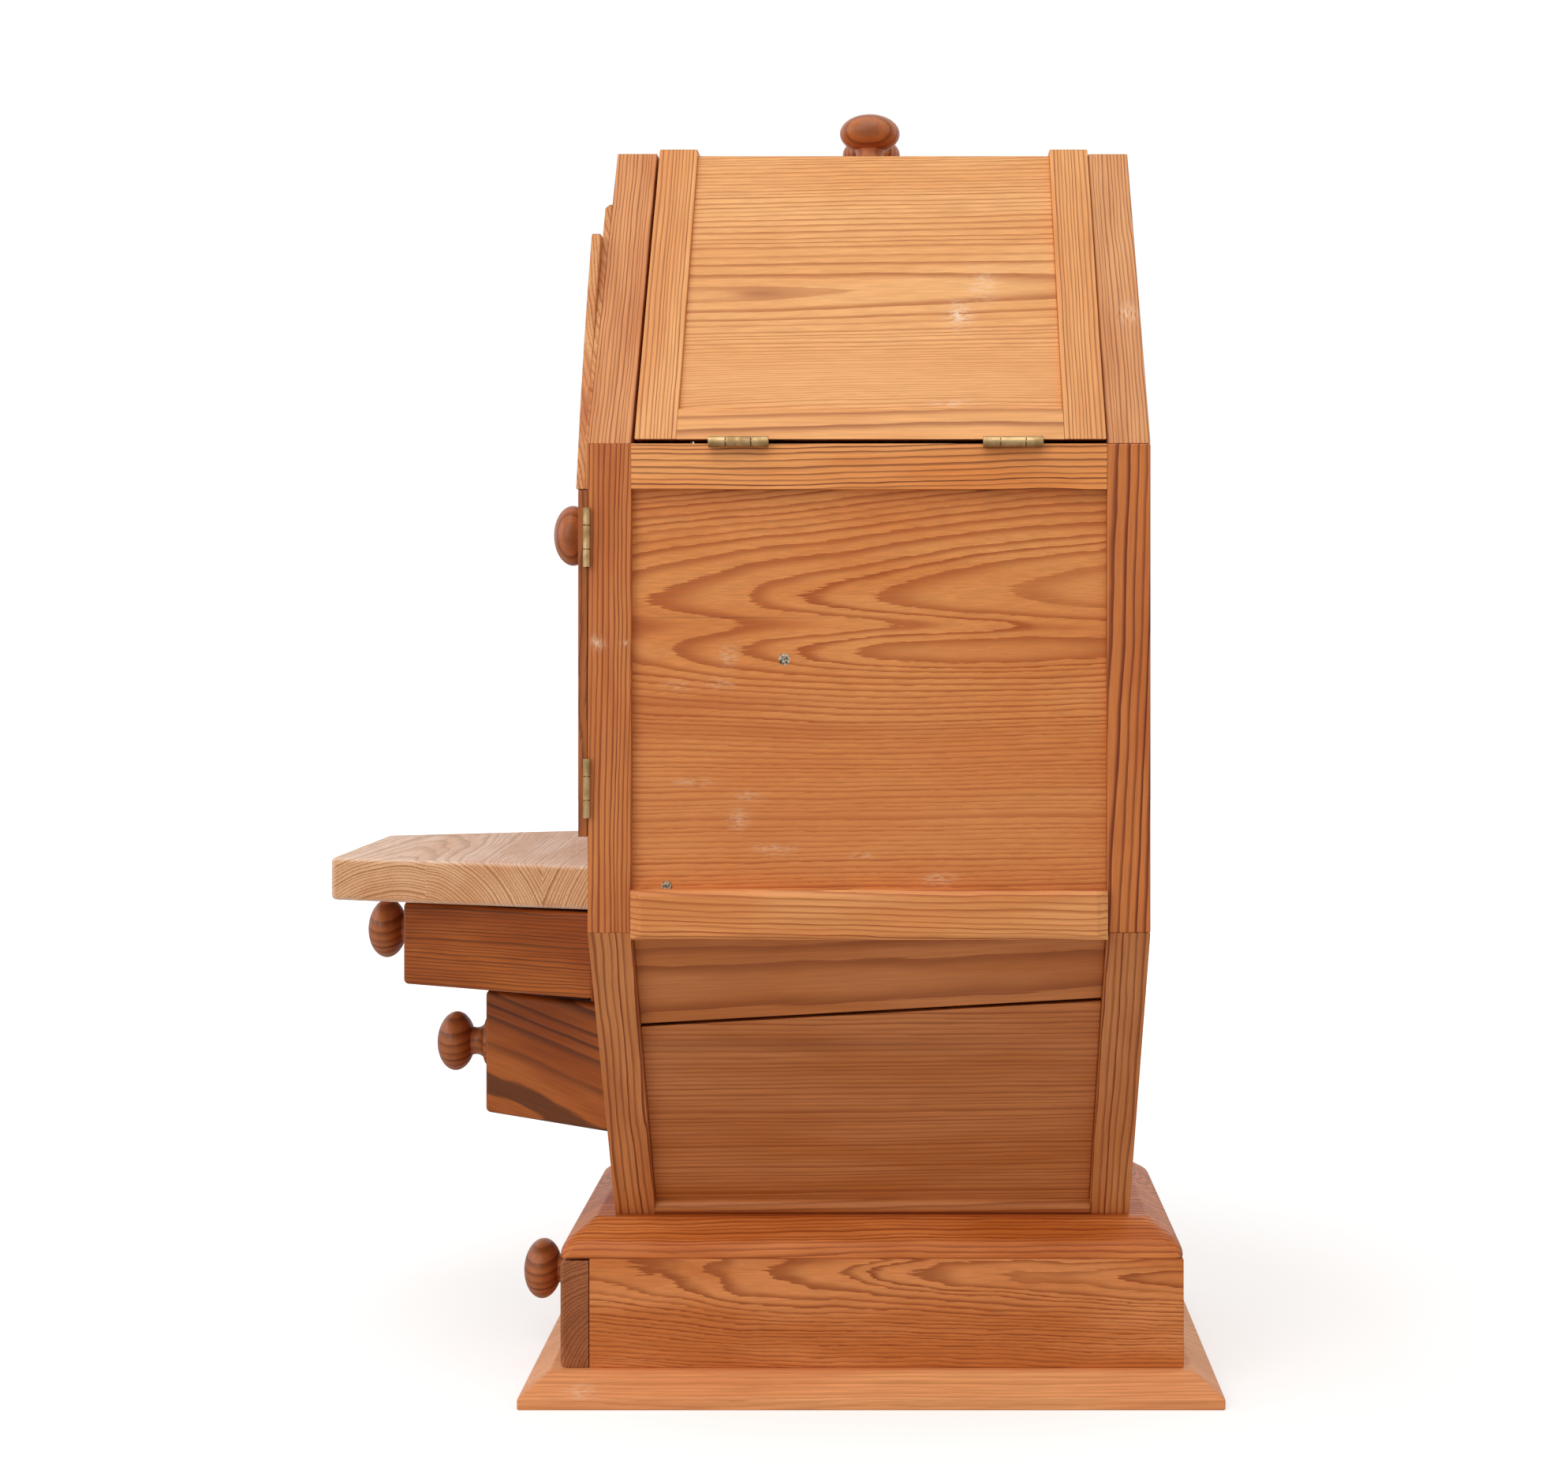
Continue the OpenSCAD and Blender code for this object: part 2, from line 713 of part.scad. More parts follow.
// Runners below the two bay drawers, against the leaning side boards.
module drawer_runners() {
    color("#b58150")
        both_sides()
            for (drawer_foot = [drawer_1_z, drawer_2_z]) {
                z1 = drawer_foot - slide_gap;
                z0 = z1 - runner_t;
                wall = post_t + glue_gap;
                x0 = lower_x(z0, wall) - runner_w;
                section = [[x0, z0], [lower_x(z0, wall), z0], [lower_x(z1, wall), z1], [x0, z1]];
                across(section, front_y + frame_t, back_panel_y);
            }
}

module deck() {
    inner = body_w / 2 - post_t;
    tongue_y = front_y + counter_tongue;
    color("#bf8450")
        difference() {
            block([-inner, front_y, deck_foot], [inner, back_panel_y, deck_top]);
            block([-counter_root_w / 2, front_y - eps, deck_foot - eps],
                [counter_root_w / 2, tongue_y, deck_top + eps]);
            both_sides()
                screw_room(screw_clear);
        }
}

module shelf() {
    inner = body_w / 2 - post_t;
    color("#bf8450")
        difference() {
            block([-inner, front_y + shelf_setback, shelf_z], [inner, back_panel_y, shelf_z + shelf_t]);
            both_sides()
                screw_room(screw_clear);
        }
}

// Projecting board with canted ends, round at its two front corners.
module counter() {
    tip_y = front_y - counter_reach;
    cant = atan2((counter_root_w - counter_tip_w) / 2, counter_reach);
    r = counter_corner_r;
    turn = 90 - cant;
    centre = [counter_tip_w / 2 - r * tan(turn / 2), tip_y + r];
    corner = [
        for (i = [0 : arc_steps])
            let (a = -90 + turn * i / arc_steps)
                [centre[0] + r * cos(a), centre[1] + r * sin(a)]
    ];
    right = concat(corner, [[counter_root_w / 2, front_y],
        [counter_root_w / 2, front_y + counter_tongue]]);
    last = len(right) - 1;
    left = [for (i = [last : -1 : 0]) [-right[i][0], right[i][1]]];
    color("#dcae86")
        translate([0, 0, deck_foot])
            linear_extrude(counter_t)
                polygon(concat(right, left));
}

// Half profile of a knob as radius and height, from its foot to the tip of its head.
// The hollow of its neck is part of an ellipse that runs on a little past the narrowest place.
function knob_profile(length, foot_h) =
    let (head_up = length - knob_head_half,
        hollow = knob_foot_r - knob_neck_r,
        join_r = knob_neck_r + hollow * (1 - cos(knob_curl)),
        start = acos(join_r / knob_head_r),
        join_up = head_up - knob_head_half * sin(start) - knob_step,
        neck_up = (join_up + foot_h * sin(knob_curl)) / (1 + sin(knob_curl)))
    concat(
        [[0, 0], [knob_foot_r, 0]],
        [
            for (i = [0 : 8])
                let (a = 90 - (90 + knob_curl) * i / 8)
                    [knob_neck_r + hollow * (1 - cos(a)), neck_up - (neck_up - foot_h) * sin(a)]
        ],
        [
            for (i = [0 : 20])
                let (a = 90 - (90 + start) * (20 - i) / 20)
                    [knob_head_r * cos(a), head_up + knob_head_half * sin(a)]
        ]
    );

// Turned knob standing on the origin along +Z.
module knob(length, foot_h) {
    color("#a4572f")
        rotate_extrude()
            polygon(knob_profile(length, foot_h));
}

// Knob on an upright face that looks to the front.
module front_knob(x, y, z) {
    translate([x, y, z])
        rotate([90, 0, 0])
            knob(knob_len, knob_foot_h);
}

// Spans of the two outer knuckles of a hinge, along its pin.
function outer_spans(length, middle) = [
    [0, (length - middle - knuckle_gap) / 2],
    [(length + middle + knuckle_gap) / 2, length]
];

// Span of the middle knuckle of a hinge, along its pin.
function middle_span(length, middle) = [[(length - middle + knuckle_gap) / 2,
    (length + middle - knuckle_gap) / 2]];

// Hinge leaf with its knuckles. The pin runs along +Z at the origin and the leaf lies toward -X,
// with its lower face at y0.
module hinge_leaf(spans, length, leaf_w, leaf_t, y0, barrel_r, pin_r) {
    difference() {
        union() {
            block([-leaf_w, y0, 0], [-barrel_r - run_gap, y0 + leaf_t, length]);
            for (span = spans) {
                block([-barrel_r - run_gap - eps, y0, span[0]], [0, y0 + leaf_t, span[1]]);
                translate([0, 0, span[0]])
                    cylinder(h = span[1] - span[0], r = barrel_r);
            }
        }
        translate([0, 0, -1])
            cylinder(h = length + 2, r = pin_r + pin_clear);
    }
}

// Depths of the front ends of the two hinges of a lid.
function lid_hinge_starts() = [
    post_front_y + lid_hinge_front - lid_hinge_len / 2,
    post_back_y - lid_hinge_back - lid_hinge_len / 2
];

// Puts a hinge's pin line on a right lid's axis, with the hinge's own Y upward.
module at_lid_hinges() {
    for (y = lid_hinge_starts())
        translate([lid_axis_x, y + lid_hinge_len, lid_axis_z])
            rotate([90, 0, 0])
                children();
}

module lid_hinge_bases() {
    color("#a58d5a")
        both_sides()
            at_lid_hinges()
                hinge_leaf(outer_spans(lid_hinge_len, lid_knuckle_len), lid_hinge_len, lid_leaf_w,
                    lid_leaf_t, rail_top - lid_axis_z, lid_barrel_r, lid_pin_r);
}

module lid_hinge_leaves_shape() {
    color("#a58d5a")
        at_lid_hinges()
            hinge_leaf(middle_span(lid_hinge_len, lid_knuckle_len), lid_hinge_len, lid_leaf_w,
                lid_leaf_t, lid_foot_z - lid_leaf_t - lid_axis_z, lid_barrel_r, lid_pin_r);
}

// Heights of the lower ends of the two hinges of a door.
function door_hinge_feet() = [
    door_foot + door_hinge_foot,
    door_top - door_hinge_top - door_hinge_len
];

module at_door_hinges() {
    for (z = door_hinge_feet())
        translate([door_axis_x, door_axis_y, z])
            children();
}

module door_hinge_bases() {
    color("#9c8a5e")
        both_sides()
            at_door_hinges()
                hinge_leaf(outer_spans(door_hinge_len, door_knuckle_len), door_hinge_len,
                    door_leaf_w, door_leaf_t, front_y - door_axis_y, door_barrel_r, door_pin_r);
}

module door_hinge_leaves_shape() {
    color("#9c8a5e")
        at_door_hinges()
            hinge_leaf(middle_span(door_hinge_len, door_knuckle_len), door_hinge_len, door_leaf_w,
                door_leaf_t, drawer_face_y - door_leaf_t - door_axis_y, door_barrel_r, door_pin_r);
}

module hinge_pins() {
    color("#7d7048")
        both_sides() {
            at_lid_hinges()
                cylinder(h = lid_hinge_len, r = lid_pin_r);
            at_door_hinges()
                cylinder(h = door_hinge_len, r = door_pin_r);
        }
}

// Outline of a lid's slanted band between two surfaces, from a height up to the mitred corner.
function lid_band(z, out, in) = [
    [lid_x(z, out), z], [lid_x(top_z + out, out), top_z + out],
    [lid_x(top_z + in, in), top_z + in], [lid_x(z, in), z]
];

// Outline of a lid's level band over the top, from the mitred corner to the middle.
function lid_top_band(out, in) = [
    [lid_x(top_z + out, out), top_z + out], [run_gap, top_z + out],
    [run_gap, top_z + in], [lid_x(top_z + in, in), top_z + in]
];

// The two stiles of a right lid, each with its strip over the top.
module lid_stiles_shape() {
    in = lid_proud - lid_frame_t;
    color("#d59a5c")
        for (y = [lid_y0, lid_y1 - lid_stile_w]) {
            across(lid_band(lid_foot_z, lid_proud, in), y, y + lid_stile_w);
            across(lid_top_band(lid_proud, in), y, y + lid_stile_w);
        }
}

module lid_rail_shape() {
    in = lid_proud - lid_frame_t;
    rail = [[lid_x(lid_foot_z, lid_proud), lid_foot_z], [lid_x(lid_rail_top, lid_proud), lid_rail_top],
        [lid_x(lid_rail_top, in), lid_rail_top], [lid_x(lid_foot_z, in), lid_foot_z]];
    color("#d59a5c")
        across(rail, lid_y0 + lid_stile_w, lid_y1 - lid_stile_w);
}

module lid_panel_shape() {
    color("#dda566")
        across(lid_band(lid_rail_top, lid_panel_out, lid_panel_out - lid_panel_t),
            lid_y0 + lid_stile_w, lid_y1 - lid_stile_w);
}

module lid_top_shape() {
    color("#dda566")
        across(lid_top_band(lid_panel_out, lid_panel_out - lid_panel_t),
            lid_y0 + lid_stile_w, lid_y1 - lid_stile_w);
}

module lid_knob_shape() {
    translate([lid_knob_x, (lid_y0 + lid_y1) / 2 - lid_knob_forward, top_z + lid_panel_out])
        knob(lid_knob_len, lid_knob_foot_h);
}

// Door leaf on the right, with seats for its hinge leaves in its back.
module door_leaf_shape() {
    color("#b96f3d")
        difference() {
            block([run_gap, door_face_y, door_foot], [door_edge_x, drawer_face_y, door_top]);
            for (z = door_hinge_feet())
                block([door_axis_x - door_leaf_w, drawer_face_y - door_leaf_t, z],
                    [door_edge_x + eps, drawer_face_y + eps, z + door_hinge_len]);
        }
}

module door_knob_shape() {
    front_knob(door_knob_x, door_face_y, door_top - door_knob_drop);
}

// Outline in plan of one canted bay board on the right, mitred to the front board.
function bay_side(root_w, tip_w, root_y, tip_y) =
    let (
        cant = atan2((root_w - tip_w) / 2, root_y - tip_y),
        inner_tip = tip_w / 2 - bay_t * tan((90 - cant) / 2),
        shift = bay_t / cos(cant)
    )
    [[root_w / 2, root_y], [root_w / 2 - shift, root_y], [inner_tip, tip_y + bay_t],
        [tip_w / 2, tip_y]];

// Outline in plan of a bay's front board.
function bay_front(root_w, tip_w, root_y, tip_y) =
    let (
        cant = atan2((root_w - tip_w) / 2, root_y - tip_y),
        inner_tip = tip_w / 2 - bay_t * tan((90 - cant) / 2)
    )
    [[-tip_w / 2, tip_y], [tip_w / 2, tip_y], [inner_tip, tip_y + bay_t], [-inner_tip, tip_y + bay_t]];

// Three boards of a bay and its floor.
module bay(root_w, tip_w, root_y, tip_y, z, h) {
    side = bay_side(root_w, tip_w, root_y, tip_y);
    translate([0, 0, z])
        linear_extrude(h)
            polygon(bay_front(root_w, tip_w, root_y, tip_y));
    both_sides()
        translate([0, 0, z])
            linear_extrude(h)
                polygon(side);
    translate([0, 0, z])
        linear_extrude(drawer_floor_t)
            polygon([side[1], side[2], [-side[2][0], side[2][1]], [-side[1][0], side[1][1]]]);
}

// Open box behind a drawer's front, from y0 to y1: two sides, a back and a bottom.
module drawer_box(w, y0, y1, z, h) {
    inner = w / 2 - drawer_side_t;
    both_sides()
        block([inner, y0, z], [w / 2, y1, z + h]);
    block([-inner, y1 - drawer_side_t, z], [inner, y1, z + h]);
    block([-inner, y0, z], [inner, y1 - drawer_side_t, z + drawer_floor_t]);
}

module drawer_1_front() {
    color("#9f5c31")
        block([-drawer_1_lip_w / 2, drawer_face_y - flat_front_t, drawer_1_z],
            [drawer_1_lip_w / 2, drawer_face_y, drawer_1_top]);
}

module drawer_1_bay() {
    color("#9a5227")
        bay(drawer_1_root_w, drawer_1_tip_w, drawer_face_y - flat_front_t, front_y - drawer_1_reach,
            drawer_1_z, drawer_1_h);
}

module drawer_1_box() {
    color("#c79a68")
        drawer_box(drawer_1_box_w, drawer_face_y, front_y + drawer_len, drawer_1_z, drawer_1_box_h);
}

module drawer_1_knob() {
    front_knob(0, front_y - drawer_1_reach, drawer_1_z + drawer_1_h / 2);
}

module drawer_2_front() {
    color("#9f5c31")
        block([-drawer_2_box_w / 2, drawer_face_y, drawer_2_z],
            [drawer_2_box_w / 2, drawer_face_y + flat_front_t, drawer_2_top]);
}

module drawer_2_bay() {
    color("#98532b")
        bay(drawer_2_root_w, drawer_2_tip_w, drawer_face_y, front_y - drawer_2_reach,
            drawer_2_z, drawer_2_h);
}

module drawer_2_box() {
    color("#c79a68")
        drawer_box(drawer_2_box_w, drawer_face_y + flat_front_t, front_y + drawer_len, drawer_2_z,
            drawer_2_box_h);
}

module drawer_2_knob() {
    front_knob(0, front_y - drawer_2_reach, drawer_2_z + drawer_2_h / 2);
}

module base_drawer_front() {
    color("#8f5c3a")
        block([-case_w / 2, case_front_y, base_drawer_z],
            [case_w / 2, case_front_y + base_front_t, base_front_top]);
}

module base_drawer_box() {
    color("#c79a68")
        drawer_box(case_w - 2 * case_t - 2 * opening_gap, case_front_y + base_front_t,
            case_back_y - case_t - base_drawer_room, base_drawer_z, base_box_h);
}

module base_drawer_knob() {
    front_knob(0, case_front_y, (base_drawer_z + base_front_top) / 2);
}

plinth_board();
cap_board();
base_sides();
base_back();
front_post_right();
front_post_left();
back_post_right();
back_post_left();
side_rails();
middle_panels();
ledge_strips();
lower_boards();
foot_strips();
top_bars();
ridge_bar();
front_upper_panel();
fascia_backing();
fascia();
door_sill();
drawer_frame();
back_panel();
deck();
shelf();
drawer_runners();
counter();
panel_screws();
lid_hinge_bases();
door_hinge_bases();
hinge_pins();
lid_stiles_shape();  // lid_right_stiles
lid_rail_shape();  // lid_right_rail
lid_panel_shape();  // lid_right_panel
lid_top_shape();  // lid_right_top
lid_knob_shape();  // lid_right_knob
lid_hinge_leaves_shape();  // lid_right_hinge_leaves
mirror([1, 0, 0]) lid_stiles_shape();  // lid_left_stiles
mirror([1, 0, 0]) lid_rail_shape();  // lid_left_rail
mirror([1, 0, 0]) lid_panel_shape();  // lid_left_panel
mirror([1, 0, 0]) lid_top_shape();  // lid_left_top
mirror([1, 0, 0]) lid_knob_shape();  // lid_left_knob
mirror([1, 0, 0]) lid_hinge_leaves_shape();  // lid_left_hinge_leaves
door_leaf_shape();  // door_right_leaf
door_knob_shape();  // door_right_knob
door_hinge_leaves_shape();  // door_right_hinge_leaves
mirror([1, 0, 0]) door_leaf_shape();  // door_left_leaf
mirror([1, 0, 0]) door_knob_shape();  // door_left_knob
mirror([1, 0, 0]) door_hinge_leaves_shape();  // door_left_hinge_leaves
drawer_1_front();
drawer_1_bay();
drawer_1_box();
drawer_1_knob();
drawer_2_front();
drawer_2_bay();
drawer_2_box();
drawer_2_knob();
base_drawer_front();
base_drawer_box();
base_drawer_knob();
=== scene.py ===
"""Looks of the pine dry bar: lacquered and worn boards, turned knobs, aged hinges and screws.

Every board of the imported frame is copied, parted from its neighbours, eased at its edges and told
where the heart of its tree ran, so that one solid pine texture gives it face grain on its faces and
end grain on its ends. Lengths are in metres, in the frame of the CAD part. Front is -Y, up is +Z,
and the photo looks along -X.
"""
import json
import logging
import math
from dataclasses import dataclass
from enum import Enum
from typing import Any, Callable, Sequence

import bmesh
import bpy
from mathutils import Matrix, Vector

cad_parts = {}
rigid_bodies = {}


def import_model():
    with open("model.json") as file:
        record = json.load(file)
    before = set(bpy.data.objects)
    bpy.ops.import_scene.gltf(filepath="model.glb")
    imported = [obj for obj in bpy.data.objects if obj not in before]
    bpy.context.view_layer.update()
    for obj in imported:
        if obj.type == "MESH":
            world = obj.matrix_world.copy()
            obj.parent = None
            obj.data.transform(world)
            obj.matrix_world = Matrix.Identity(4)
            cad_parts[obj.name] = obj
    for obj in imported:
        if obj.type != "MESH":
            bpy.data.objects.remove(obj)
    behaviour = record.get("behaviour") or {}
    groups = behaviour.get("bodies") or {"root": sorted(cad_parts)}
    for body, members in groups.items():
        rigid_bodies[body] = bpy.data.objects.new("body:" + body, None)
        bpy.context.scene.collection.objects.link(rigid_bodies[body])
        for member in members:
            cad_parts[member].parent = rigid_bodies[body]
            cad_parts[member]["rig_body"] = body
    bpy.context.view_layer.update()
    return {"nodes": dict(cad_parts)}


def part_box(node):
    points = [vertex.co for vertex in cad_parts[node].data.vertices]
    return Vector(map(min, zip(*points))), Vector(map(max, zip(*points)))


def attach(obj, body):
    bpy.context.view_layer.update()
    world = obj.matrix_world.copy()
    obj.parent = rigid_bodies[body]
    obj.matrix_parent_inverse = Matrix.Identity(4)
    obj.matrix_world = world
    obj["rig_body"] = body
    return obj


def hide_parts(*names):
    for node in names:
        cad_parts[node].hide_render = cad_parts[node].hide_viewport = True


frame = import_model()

LOG = logging.getLogger("dry_bar")
MM = 0.001
Vec = tuple[float, float, float]
Inputs = dict[Any, Any] | Sequence[Any]
Mesh = bmesh.types.BMesh
SMOOTH = {"interpolation_type": "SMOOTHSTEP"}
COLOUR = {"data_type": "RGBA"}
SIDES = (("right", 1.0), ("left", -1.0))


def linear(hex_colour: str) -> tuple[float, float, float, float]:
    """Turns an sRGB hex colour into linear RGBA.

    Args:
        hex_colour: colour as "#rrggbb".

    Returns:
        Red, green, blue and alpha, each 0 to 1.
    """
    channels = [int(hex_colour[i:i + 2], 16) / 255 for i in (1, 3, 5)]
    red, green, blue = (
        c / 12.92 if c <= 0.04045 else ((c + 0.055) / 1.055) ** 2.4 for c in channels)
    return red, green, blue, 1.0


class Tree:
    """A node tree that is filled through one small function."""

    def __init__(self, tree: bpy.types.NodeTree) -> None:
        """Empties the tree."""
        self.tree = tree
        tree.nodes.clear()

    def add(self, kind: str, inputs: Inputs = (), out: int | str = 0, **settings: Any) -> Any:
        """Adds a node with its settings and links.

        Args:
            kind: the node's type name, where "Math" is short for "ShaderNodeMath".
            inputs: a value for each socket, in their order or by their names or numbers. A socket as
                the value feeds the node, and so does each socket of a list.
            out: the name or number of the output that is wanted.
            **settings: the node's own properties.

        Returns:
            The wanted output, or None where the node has none.
        """
        node = self.tree.nodes.new(kind if "Node" in kind else f"ShaderNode{kind}")
        for name, value in settings.items():
            setattr(node, name, value)
        for name, value in inputs.items() if isinstance(inputs, dict) else enumerate(inputs):
            for source in value if isinstance(value, list) else [value]:
                if isinstance(source, bpy.types.NodeSocket):
                    self.tree.links.new(source, node.inputs[name])
                else:
                    node.inputs[name].default_value = source
        return node.outputs[out] if node.outputs else None


def blank_material(name: str) -> tuple[bpy.types.Material, Tree]:
    """Returns a new material and its empty node tree."""
    material = bpy.data.materials.new(name)
    material.use_nodes = True
    return material, Tree(material.node_tree)


@dataclass(frozen=True)
class Spot:
    """An ellipsoid on a surface, in millimetres of the part's frame, with its strength and colour."""

    centre: Vec
    radii: Vec
    strength: float = 1.0
    tone: str = "#3a1808"

    def mask(self, tree: Tree, place: Any) -> Any:
        """Draws a soft round mask.

        Args:
            tree: the material's nodes.
            place: the part's own coordinates.

        Returns:
            The mask, which is as strong as the spot in its middle.
        """
        centre = tuple(v * MM for v in self.centre)
        scale = tuple(1 / (v * MM) for v in self.radii)
        moved = tree.add("VectorMath", (place, centre), operation="SUBTRACT")
        sized = tree.add("VectorMath", (moved, scale), operation="MULTIPLY")
        far = tree.add("VectorMath", (sized, sized), "Value", operation="DOT_PRODUCT")
        far = tree.add("Math", (far, -1.0), operation="MULTIPLY")
        fade = tree.add("Math", (far,), operation="EXPONENT")
        return tree.add("Math", (fade, self.strength), operation="MULTIPLY")


@dataclass(frozen=True)
class Streak:
    """A noise that is drawn out along the grain.

    along and across are how often it repeats in a millimetre. low and high are the values of the
    noise between which its tone goes from 0 to 1.
    """

    along: float
    across: float
    detail: float = 3.0
    roughness: float = 0.5
    low: float = 0.0
    high: float = 1.0

    def draw(self, tree: Tree, grain: Any, out: str = "Fac") -> Any:
        """Draws the noise.

        Args:
            tree: the material's nodes.
            grain: a board's grain coordinates in millimetres.
            out: "Fac" for its value or "Color" for three at once.

        Returns:
            The noise, before its contrast is raised.
        """
        drawn = tree.add("VectorMath", (grain, (self.along, self.across, self.across)), operation="MULTIPLY")
        inputs = {"Vector": drawn, "Scale": 1.0, "Detail": self.detail, "Roughness": self.roughness}
        return tree.add("TexNoise", inputs, out)

    def tone(self, tree: Tree, noise: Any) -> Any:
        """Returns the noise with its contrast raised."""
        return tree.add("MapRange", (noise, self.low, self.high), **SMOOTH)


# Slow bends of the rings, 60 mm and more apart, and quick shakes, 11 mm and more apart
BENDS = Streak(0.0055, 0.017, detail=2.0)
SHAKES = Streak(0.028, 0.09, detail=2.0)
# Fibres about 1 mm wide, coarser than real ones so that they show from a step away
FIBRES = Streak(0.02, 0.85, roughness=0.62, low=0.3, high=0.72)
# Cloudy patches of deeper colour, about 30 mm wide, and the ragged scratches of worn lacquer
CLOUDS = Streak(0.006, 0.03, low=0.35, high=0.66)
RUBS = Streak(0.16, 0.75, low=0.42, high=0.58)
WORN_TONE = "#ecc7a6"


@dataclass(frozen=True)
class Pine:
    """Lacquered Scots pine, planed and sanded.

    Broad honey-coloured early wood between thin brown late-wood lines, with fine fibres along the
    grain. The lacquer gives it a satin sheen, which is worn off in places.
    """

    slot: str
    pale: str
    mid: str
    dark: str
    # Distance between growth rings near the heart, and how much they crowd further out
    ring_mm: float = 3.4
    crowd: float = 1.0
    # How far the rings wander along a board
    wander_mm: float = 5.0
    # How far the fibres fray the edge of a ring
    fray_mm: float = 1.8
    # Share of a year's growth that is pale, where the rest is darkest and where it ends
    early: float = 0.4
    late_peak: float = 0.88
    late_end: float = 0.94
    # How dark the late wood gets, and the share of that which even the palest year has
    depth: float = 0.9
    least_late: float = 0.5
    # How fast good and poor years follow each other, and how many rings that shifts
    year_pace: float = 0.23
    year_shift: float = 2.4
    # Tint of end grain
    end_tone: str = "#c9ad98"
    # How bright the darkest and the palest fibres are, and how rough the lacquer is over them
    fibre_tones: tuple[float, float] = (0.87, 1.08)
    roughness: float = 0.45
    rougher: tuple[float, float] = (0.08, -0.04)
    relief_mm: float = 0.25
    gloss: float = 0.3
    coat: float = 0.04
    knots: tuple[Spot, ...] = ()
    scuffs: tuple[Spot, ...] = ()
    # Nicks, and patches where the wood is darker or plainer
    marks: tuple[Spot, ...] = ()

    def rings(self, tree: Tree, grain: Any, place: Any, fibre: Any) -> Any:
        """Returns the late wood, 0 to 1, round the tree's heart.

        Args:
            tree: the material's nodes.
            grain: coordinates in millimetres along the tree and across it from its heart.
            place: the part's own coordinates, for the knots.
            fibre: the noise of the fibres, which frays the rings.
        """
        across = tree.add("VectorMath", (grain, (0.0, 1.0, 1.0)), operation="MULTIPLY")
        for streak, sway in ((BENDS, self.wander_mm * 2), (SHAKES, self.wander_mm * 0.35)):
            noise = streak.draw(tree, grain, "Color")
            bend = tree.add(
                "VectorMath", (noise, (0, sway, sway), (0, -sway / 2, -sway / 2)), operation="MULTIPLY_ADD")
            across = tree.add("VectorMath", (across, bend), operation="ADD")
        radius = tree.add("VectorMath", (across,), "Value", operation="LENGTH")
        radius = tree.add("Math", (fibre, self.fray_mm, radius), operation="MULTIPLY_ADD")
        spacing = tree.add("Attribute", out="Fac", attribute_name="ring_mm")
        age = tree.add("Math", (radius, spacing), operation="DIVIDE")
        age = tree.add("Math", (age, self.crowd), operation="POWER")
        for knot in self.knots:
            age = tree.add("Math", (age, knot.mask(tree, place)), operation="ADD")
        years = {"W": age, "Scale": self.year_pace, "Detail": 1.0}
        years = tree.add("TexNoise", years, noise_dimensions="1D")
        age = tree.add("Math", (years, self.year_shift, age), operation="MULTIPLY_ADD")
        season = tree.add("Math", (age,), operation="FRACT")
        rise = tree.add("MapRange", (season, self.early, self.late_peak), **SMOOTH)
        fall = tree.add("MapRange", (season, 1.0, self.late_end), **SMOOTH)
        late = tree.add("Math", (rise, fall), operation="MULTIPLY")
        year = tree.add("Math", (age,), operation="FLOOR")
        chance = tree.add("TexWhiteNoise", {"W": year}, "Value", noise_dimensions="1D")
        strong = tree.add("Math", (chance, 1 - self.least_late, self.least_late), operation="MULTIPLY_ADD")
        return tree.add("Math", (late, strong), operation="MULTIPLY")

    def wear(self, tree: Tree, grain: Any, place: Any, wood: Any) -> Any:
        """Marks the wood, and rubs its lacquer off at the scuffs.

        Args:
            tree: the material's nodes.
            grain: a board's grain coordinates in millimetres.
            place: the part's own coordinates.
            wood: the colour so far.

        Returns:
            The worn colour.
        """
        for mark in self.marks:
            share = mark.mask(tree, place)
            wood = tree.add("Mix", {0: share, 6: wood, 7: linear(mark.tone)}, 2, **COLOUR)
        if not self.scuffs:
            return wood
        worn = 0.0
        for scuff in self.scuffs:
            worn = tree.add("Math", (worn, scuff.mask(tree, place)), operation="MAXIMUM")
        ragged = RUBS.tone(tree, RUBS.draw(tree, grain))
        worn = tree.add("Math", (worn, ragged), operation="MULTIPLY")
        return tree.add("Mix", {0: worn, 6: wood, 7: linear(WORN_TONE)}, 2, **COLOUR)

